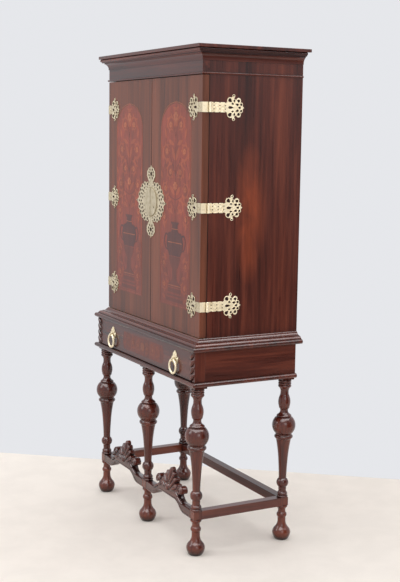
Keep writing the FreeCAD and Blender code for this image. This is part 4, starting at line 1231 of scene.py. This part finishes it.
def scroll_leaves(points, turns, reach):
    """Pointed leaves that stand out from a spiral, shorter towards its eye."""
    leaves = []
    for step in SCROLL_LEAF_STEPS:
        (x, y), (ahead_x, ahead_y) = points[step:step + 2]
        heading = math.degrees(math.atan2(ahead_y - y, ahead_x - x))
        turn = heading - math.copysign(SCROLL_LEAF_TURN, turns)
        long = reach * (1 - SCROLL_LEAF_FALL * step / len(points))
        leaves.append(leaf_loop(x, y, long, SCROLL_LEAF_WIDE * long, turn))
    return leaves


def smoothed(points, rounds=3):
    """Cut the corners of a line of points, keeping its ends."""
    for _ in range(rounds):
        finer = [points[0]]
        for (x0, y0), (x1, y1) in zip(points, points[1:]):
            finer += [(x0 + (x1 - x0) * part, y0 + (y1 - y0) * part) for part in (0.25, 0.75)]
        points = finer + [points[-1]]
    return points


def flower_loops(x, y, radius, petals=7):
    """Petals round a heart, each a pointed leaf."""
    turns = [360 * index / petals + PETAL_TURN for index in range(petals)]
    return [leaf_loop(x, y, radius, radius * PETAL_WIDE, turn) for turn in turns]


def both_ways(loops):
    """Loops and their mirror images left to right."""
    return loops + [[complex(-point.real, point.imag) for point in reversed(loop)] for loop in loops]


def bar(half, low, high):
    return loop_of([(half, low, 0), (half, high, 0), (-half, high, 0), (-half, low, 0)])


def arch_line(width, height, steps=40):
    """A line that follows the arched panel's edge at an inset."""
    spring = height * ARCH_SPRING_SHARE
    half = width / 2 - LINE_INSET
    rise = height - spring - LINE_INSET
    arch = [(half * math.cos(part), spring + rise * math.sin(part))
            for part in (math.pi * step / steps for step in range(steps + 1))]
    corners = [(-half, LINE_INSET), (half, LINE_INSET)]
    return ribbon(corners[1:] + arch + corners, LINE_WIDE)


def vase_of_flowers(width, height):
    """Tone and loops of each layer of veneer for one arched panel."""
    vase, foot = (loop_of(mirrored_rows(rows, flip=(-1, 1))) for rows in (VASE_ROWS, FOOT_ROWS))
    handles = both_ways([ribbon(smoothed(HANDLE), *HANDLE_WIDE)])
    stems = both_ways([ribbon(smoothed(stem), *STEM_WIDE) for stem in STEMS])
    curls, leaves = [], [leaf_loop(*leaf) for leaf in LEAVES]
    for x, y, radius, start, turns, wide in SCROLLS:
        line = spiral(x, y, radius, start, turns)
        curls.append(ribbon(line, wide, SCROLL_TAPER))
        leaves += scroll_leaves(line, turns, SCROLL_LEAF_LONG * radius)
    petals = both_ways([loop for flower in FLOWERS for loop in flower_loops(*flower)])
    hearts = both_ways([round_hole(x, y, HEART_WIDE * radius) for x, y, radius in FLOWERS])
    plinth, bands = ([bar(*row) for row in rows] for rows in (PLINTH, BANDS))
    return [
        ("drawer", stems + plinth + [foot]),
        ("leaf", both_ways(curls + leaves)),
        ("shade", [vase] + handles),
        ("pale", petals + [arch_line(width, height)] + bands),
        ("leaf", hearts),
    ]


def drawer_spray():
    """Tone and loops of each layer of veneer for the drawer's panel."""
    curls = [ribbon(spiral(*row), wide, SPRAY_TAPER) for *row, wide in SPRAY_SCROLLS]
    leaves = [leaf_loop(*leaf) for leaf in SPRAY_LEAVES]
    flowers = both_ways([loop for flower in SPRAY_FLOWERS for loop in flower_loops(*flower)])
    return [("leaf", both_ways(curls + leaves)), ("pale", flower_loops(*SPRAY_ROSE) + flowers)]


def spans_meet(first, second):
    """Whether two boxes, given as a low and a high corner, overlap."""
    (low, high), (other_low, other_high) = first, second
    return (low.real < other_high.real and other_low.real < high.real
            and low.imag < other_high.imag and other_low.imag < high.imag)


def steps_of(loops):
    """A step for each loop, so that loops that may overlap lie on different steps."""
    placed_boxes = []
    for loop in loops:
        across = [point.real for point in loop]
        up = [point.imag for point in loop]
        box = (complex(min(across), min(up)), complex(max(across), max(up)))
        taken = {step for other, step in placed_boxes if spans_meet(box, other)}
        placed_boxes.append((box, min(set(range(len(loops))) - taken)))
    return [step for _, step in placed_boxes]


def inlaid_piece(name, layers, place, body, strength=1.0, foot=None):
    """Join the veneers of a panel, one layer over the other, to one piece; strength dims its colours."""
    colours = settings().marquetry
    parts = []
    for layer, (tone, loops) in enumerate(layers):
        colour = toned(getattr(colours, tone), strength)
        material = finish_for(f"{body}_veneer_{tone}", veneer, colour, spread=0.35, mottle=0.4, foot=foot)
        level = colours.proud * (LAYER_START + LAYER_RISE * layer)
        meshes = [curve_mesh([loop], True, level + step * VENEER_STEP * MM, dimensions="2D",
                             fill_mode="FRONT", extrude=VENEER_THICK * MM / 2)
                  for loop, step in zip(loops, steps_of(loops))]
        parts += placed(meshes, place, material)
    piece(name, parts, body)


class CABINET_OT_marquetry(bpy.types.Operator):
    """Lay the marquetry of the doors and the drawer"""
    bl_idname = "cabinet.marquetry"
    bl_label = "Marquetry"

    def execute(self, context):
        colours = settings().marquetry
        foot = middle_of("door_inlay_right").z
        figure = {"spread": 0.45, "mottle": 0.75}
        ground = finish_for("veneer_ground", veneer, colours.ground, foot=foot, **figure)
        paint(["door_inlay_left", "door_inlay_right"], ground)
        paint(["drawer_inlay"], finish_for("drawer_ground", veneer, colours.drawer, **figure))
        for side in SIDES:
            low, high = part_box(f"door_inlay_{side}")
            layers = vase_of_flowers((high.x - low.x) / MM, (high.z - low.z) / MM)
            place = seat(((low.x + high.x) / 2, low.y, low.z))
            inlaid_piece(f"door_marquetry_{side}", layers, place, f"door_{side}", foot=foot)
        middle = middle_of("drawer_inlay")
        place = seat((middle.x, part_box("drawer_inlay")[0].y, middle.z))
        inlaid_piece("drawer_marquetry", drawer_spray(), place, "drawer", strength=0.5)
        return {"FINISHED"}


# Carving, in millimetres

# Right half of a stretcher about its crest, from the underside of the arch to the crest.
STRETCHER_ROWS = [
    (55.7, 29.8, -0.15), (81.9, 16.1, 0.15), (113.0, 0, 0), (163.75, 0, 0), (163.75, 28.0, 0),
    (104.0, 28.0, -0.35), (68.0, 47.0, -0.45), (77.0, 62.0, 0.9), (95.0, 62.0, 1.0), (63.0, 65.0, -0.5),
    (52.0, 61.0, 0.8), (43.0, 77.0, -0.45), (37.0, 78.0, 0.85), (28.0, 94.0, -0.45), (23.0, 95.0, 0.85),
    (11.5, 108.0, -0.35), (10.0, 112.0, 0.95),
]
# Leaves of the crest and the arms: across, up, length, width, depth and turn.
CREST_LOBES = [(0, 97, 50, 17, 9, 90), (0, 56, 24, 22, 9, 90)]
ARM_LOBES = [
    (16, 87, 44, 14, 8, 66), (27, 74, 40, 13, 8, 50), (36, 59, 36, 12, 7, 27), (15, 60, 26, 10, 6, 48),
    (60, 50, 34, 11, 6, -22), (86, 36, 44, 9, 5, -28),
]
VOLUTE = (78.0, 64.0, 14.5, 200.0, -1.45)
VOLUTE_RADIUS = 2.6
ARCH_BEAD = [(150, 5), (116, 5), (86, 20), (58, 34.5), (0, 34.5)]
ARCH_BEAD_RADIUS = 1.8
ARCH_BEAD_SINK = 0.5
LOBE_SINK = 1.5
EDGE_ROUNDING = 2.5
# Levels between which the crest thins, and the share of its depth that it loses.
CREST_RISE = (42.0, 118.0)
CREST_THIN_SHARE = 0.5
ROPE_ROWS = [(0, level, 36, 15, 9, 50) for level in (14, 37, 60, 83)]


def set_back(meshes):
    """Thin the crest as it rises, with its back left where it is."""
    foot, top = CREST_RISE
    for mesh in meshes:
        for vertex in mesh.vertices:
            rise = (vertex.co.y / MM - foot) / (top - foot)
            vertex.co.z *= 1 - CREST_THIN_SHARE * min(max(rise, 0), 1)
    return meshes


def stretcher_meshes(thick, material):
    """A stretcher with rounded edges, a leafy crest, two volutes and a bead along the arch, drawn flat."""
    outline = loop_of(mirrored_rows(STRETCHER_ROWS, flip=(-1, 1)))
    rows = CREST_LOBES + mirrored_lobes(ARM_LOBES)
    meshes = [pierced_plate([outline], thick, EDGE_ROUNDING * MM),
              lobes(rows, thick - LOBE_SINK * MM, material)]
    for line, sink, radius in ((spiral(*VOLUTE, inner=0.25), 0, VOLUTE_RADIUS),
                               (ARCH_BEAD, ARCH_BEAD_SINK, ARCH_BEAD_RADIUS)):
        for sign in (1, -1):
            run = [Vector((sign * x * MM, y * MM, thick - sink * MM)) for x, y in line]
            meshes.append(wires([run], radius * MM))
    return set_back(meshes)


class CABINET_OT_carving(bpy.types.Operator):
    """Carve the front stretchers and the posts beside the drawer"""
    bl_idname = "cabinet.carving"
    bl_label = "Carving"

    def execute(self, context):
        # The carving takes more of the painted shade in the hollows between its lobes.
        wood = finish_for("carved_wood", polished_wood, "x", lift=-0.02, gloss=0.08, crease=1.7)
        plain_low, plain_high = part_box("stretcher_right")
        thick = plain_high.x - plain_low.x
        for side, sign in SIDES.items():
            middle = middle_of(f"carved_stretcher_{side}")
            place = seat((middle.x, middle.y + thick / 2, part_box(f"carved_stretcher_{side}")[0].z))
            rail = placed(stretcher_meshes(thick, wood), place, wood)
            piece(f"carved_rail_{side}", rail, "cabinet", f"carved_stretcher_{side}")
            low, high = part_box(f"stand_post_{side}")
            place = seat(((low.x + high.x) / 2, low.y, low.z))
            rope = lobes(ROPE_ROWS, -LOBE_SINK * MM, wood)
            piece(f"post_rope_{side}", placed([rope], place if sign > 0 else place @ MIRROR, wood),
                  "cabinet")
        return {"FINISHED"}


# Stage, in metres

FLOOR_HALF = 6
WALL_FOOT = Vector((-0.48, 0.294, 0))
WALL_ALONG = Vector((0.624, 0.781, 0)) * 5
WALL_RISE = Vector((0, 0, 5))
# The flag begins to pale at a level, by a share for each metre.
FLAG_PALE_LEVEL = 0.7
FLAG_PALE_SHARE = 0.65
SKY_TINT = (1.0, 0.985, 0.97)
SKY_RISE = 0.3
# Place and size of each lamp.
LAMPS = {
    "key": ((-1.0, -3.6, 2.6), (1.5, 1.9)),
    "fill": ((4.4, -0.9, 2.0), (1.6, 1.6)),
    "sheen": ((0, 0, 3.6), (6, 6)),
}
LAMP_AIM = Vector((0, 0, 0.8))
SENSOR_WIDTH = 36
VIEW_END = 60


def flag_corners(stage):
    """Corners of the board that the camera sees mirrored in the cabinet's side, with a margin."""
    low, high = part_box("case_side_right")
    eye = Vector(stage.eye)
    eye.x = 2 * high.x - eye.x
    stretch = 1 + stage.flag_reach / (high.x - eye.x)
    near = eye + (Vector((high.x, low.y, low.z)) - eye) * stretch
    far = eye + (high - eye) * stretch
    front, back = near.y - stage.flag_margin, far.y + stage.flag_margin
    top = far.z + stage.flag_margin
    return [(far.x, front, 0), (far.x, back, 0), (far.x, back, top), (far.x, front, top)]


def flat_sheet(name, corners, material):
    mesh = bpy.data.meshes.new(name)
    mesh.from_pydata([tuple(corner) for corner in corners], [], [(0, 1, 2, 3)])
    mesh.materials.append(material)
    return linked(name, mesh)


def floor_finish(stage):
    """A pale, softly worn floor."""
    finish = finish_named("pale_floor")
    wear = finish.noise(finish.place(), 7, detail=5, roughness=0.65, distortion=0.3)
    return finish.surface(
        Base_Color=finish.ramp(wear, (0.4, 0.6), (toned(stage.floor, 0.96), stage.floor)),
        Roughness=0.8,
        Specular_IOR_Level=0.1,
    )


def wall_finish(stage):
    """A pale backdrop that is seen from its front only."""
    finish = finish_named("pale_backdrop")
    behind = finish.node("NewGeometry").outputs["Backfacing"]
    clear = finish.node("BsdfTransparent").outputs[0]
    return finish.close(finish.either(behind, finish.glow(stage.wall), clear))


def flag_finish(stage):
    """Dull dark cloth that pales towards its top."""
    finish = finish_named("dark_flag")
    rise = ((finish.axes()[2] - FLAG_PALE_LEVEL) * FLAG_PALE_SHARE).clipped()
    return finish.close(finish.glow(finish.mix(rise, stage.flag, stage.wall)))


def sky(scene, stage):
    """Soft light from all round, a little more from above; seen or mirrored it is the pale backdrop."""
    scene.world = scene.world or bpy.data.worlds.new("Sky")
    finish = Finish(scene.world)
    strength = finish.axes("Generated")[2].clipped() * SKY_RISE + stage.sky
    path = finish.node("LightPath")
    rays = [Number(finish, path.outputs[f"Is {kind} Ray"]) for kind in ("Camera", "Glossy", "Transmission")]
    light = finish.glow(SKY_TINT, "Background", strength)
    pale = finish.glow(stage.wall, "Background")
    finish.close(finish.either(sum(rays).clipped(), light, pale), "OutputWorld")


def soft_lamp(name, spot, size, watts):
    """A lamp that looks at the middle of the cabinet."""
    lamp = bpy.data.lights.new(name, "AREA")
    lamp.shape = "RECTANGLE"
    lamp.size, lamp.size_y = size
    lamp.energy = watts
    item = linked(name, lamp)
    aim = (LAMP_AIM - Vector(spot)).to_track_quat("-Z", "Y")
    item.matrix_world = Matrix.LocRotScale(Vector(spot), aim, None)
    item.visible_camera = False
    return item


def camera(scene, stage):
    """The camera at the photograph's viewing angle."""
    lens = bpy.data.cameras.new("camera")
    lens.lens = stage.lens
    lens.sensor_width = SENSOR_WIDTH
    lens.clip_end = VIEW_END
    item = linked("camera", lens)
    turn = Matrix.Rotation(stage.azimuth, 4, "Z") @ Matrix.Rotation(math.pi / 2 - stage.elevation, 4, "X")
    item.matrix_world = Matrix.Translation(stage.eye) @ turn @ Matrix.Rotation(stage.roll, 4, "Z")
    scene.camera = item


class CABINET_OT_stage(bpy.types.Operator):
    """Set the floor, the backdrop, the light and the camera"""
    bl_idname = "cabinet.stage"
    bl_label = "Stage"

    def execute(self, context):
        stage = settings().stage
        reach = FLOOR_HALF
        corners = [(-reach, -reach, 0), (reach, -reach, 0), (reach, reach, 0), (-reach, reach, 0)]
        floor = flat_sheet("floor", corners, floor_finish(stage))
        ends = [WALL_FOOT - WALL_ALONG, WALL_FOOT + WALL_ALONG]
        wall = flat_sheet("backdrop", ends + [ends[1] + WALL_RISE, ends[0] + WALL_RISE], wall_finish(stage))
        flag = flat_sheet("flag", flag_corners(stage), flag_finish(stage))
        for sheet in (wall, flag):
            sheet.visible_diffuse = False
            sheet.visible_shadow = False
        flag.visible_camera = False
        sky(context.scene, stage)
        for name, (spot, size) in LAMPS.items():
            lamp = soft_lamp(name, spot, size, getattr(stage, name))
            lamp.visible_diffuse = name != "sheen"
        camera(context.scene, stage)
        context.scene.view_settings.view_transform = "Standard"
        return {"FINISHED"}


# Add-on

GROUPS = [CabinetWood, CabinetMarquetry, CabinetBrass, CabinetStage, CabinetSettings]
OPERATORS = [CABINET_OT_woodwork, CABINET_OT_hinges, CABINET_OT_lock_plate, CABINET_OT_pulls,
             CABINET_OT_marquetry, CABINET_OT_carving, CABINET_OT_stage]


class CABINET_PT_panel(bpy.types.Panel):
    """The steps that dress the cabinet"""
    bl_label = "Cabinet"
    bl_space_type = "VIEW_3D"
    bl_region_type = "UI"
    bl_category = "Cabinet"

    def draw(self, context):
        for operator in OPERATORS:
            self.layout.operator(operator.bl_idname)


CLASSES = GROUPS + OPERATORS + [CABINET_PT_panel]


def register():
    for item in CLASSES:
        bpy.utils.register_class(item)
    bpy.types.Scene.cabinet = PointerProperty(type=CabinetSettings)


def unregister():
    del bpy.types.Scene.cabinet
    for item in reversed(CLASSES):
        bpy.utils.unregister_class(item)


def main():
    register()
    for operator in OPERATORS:
        group, name = operator.bl_idname.split(".")
        getattr(getattr(bpy.ops, group), name)()


if __name__ == "__main__":
    main()
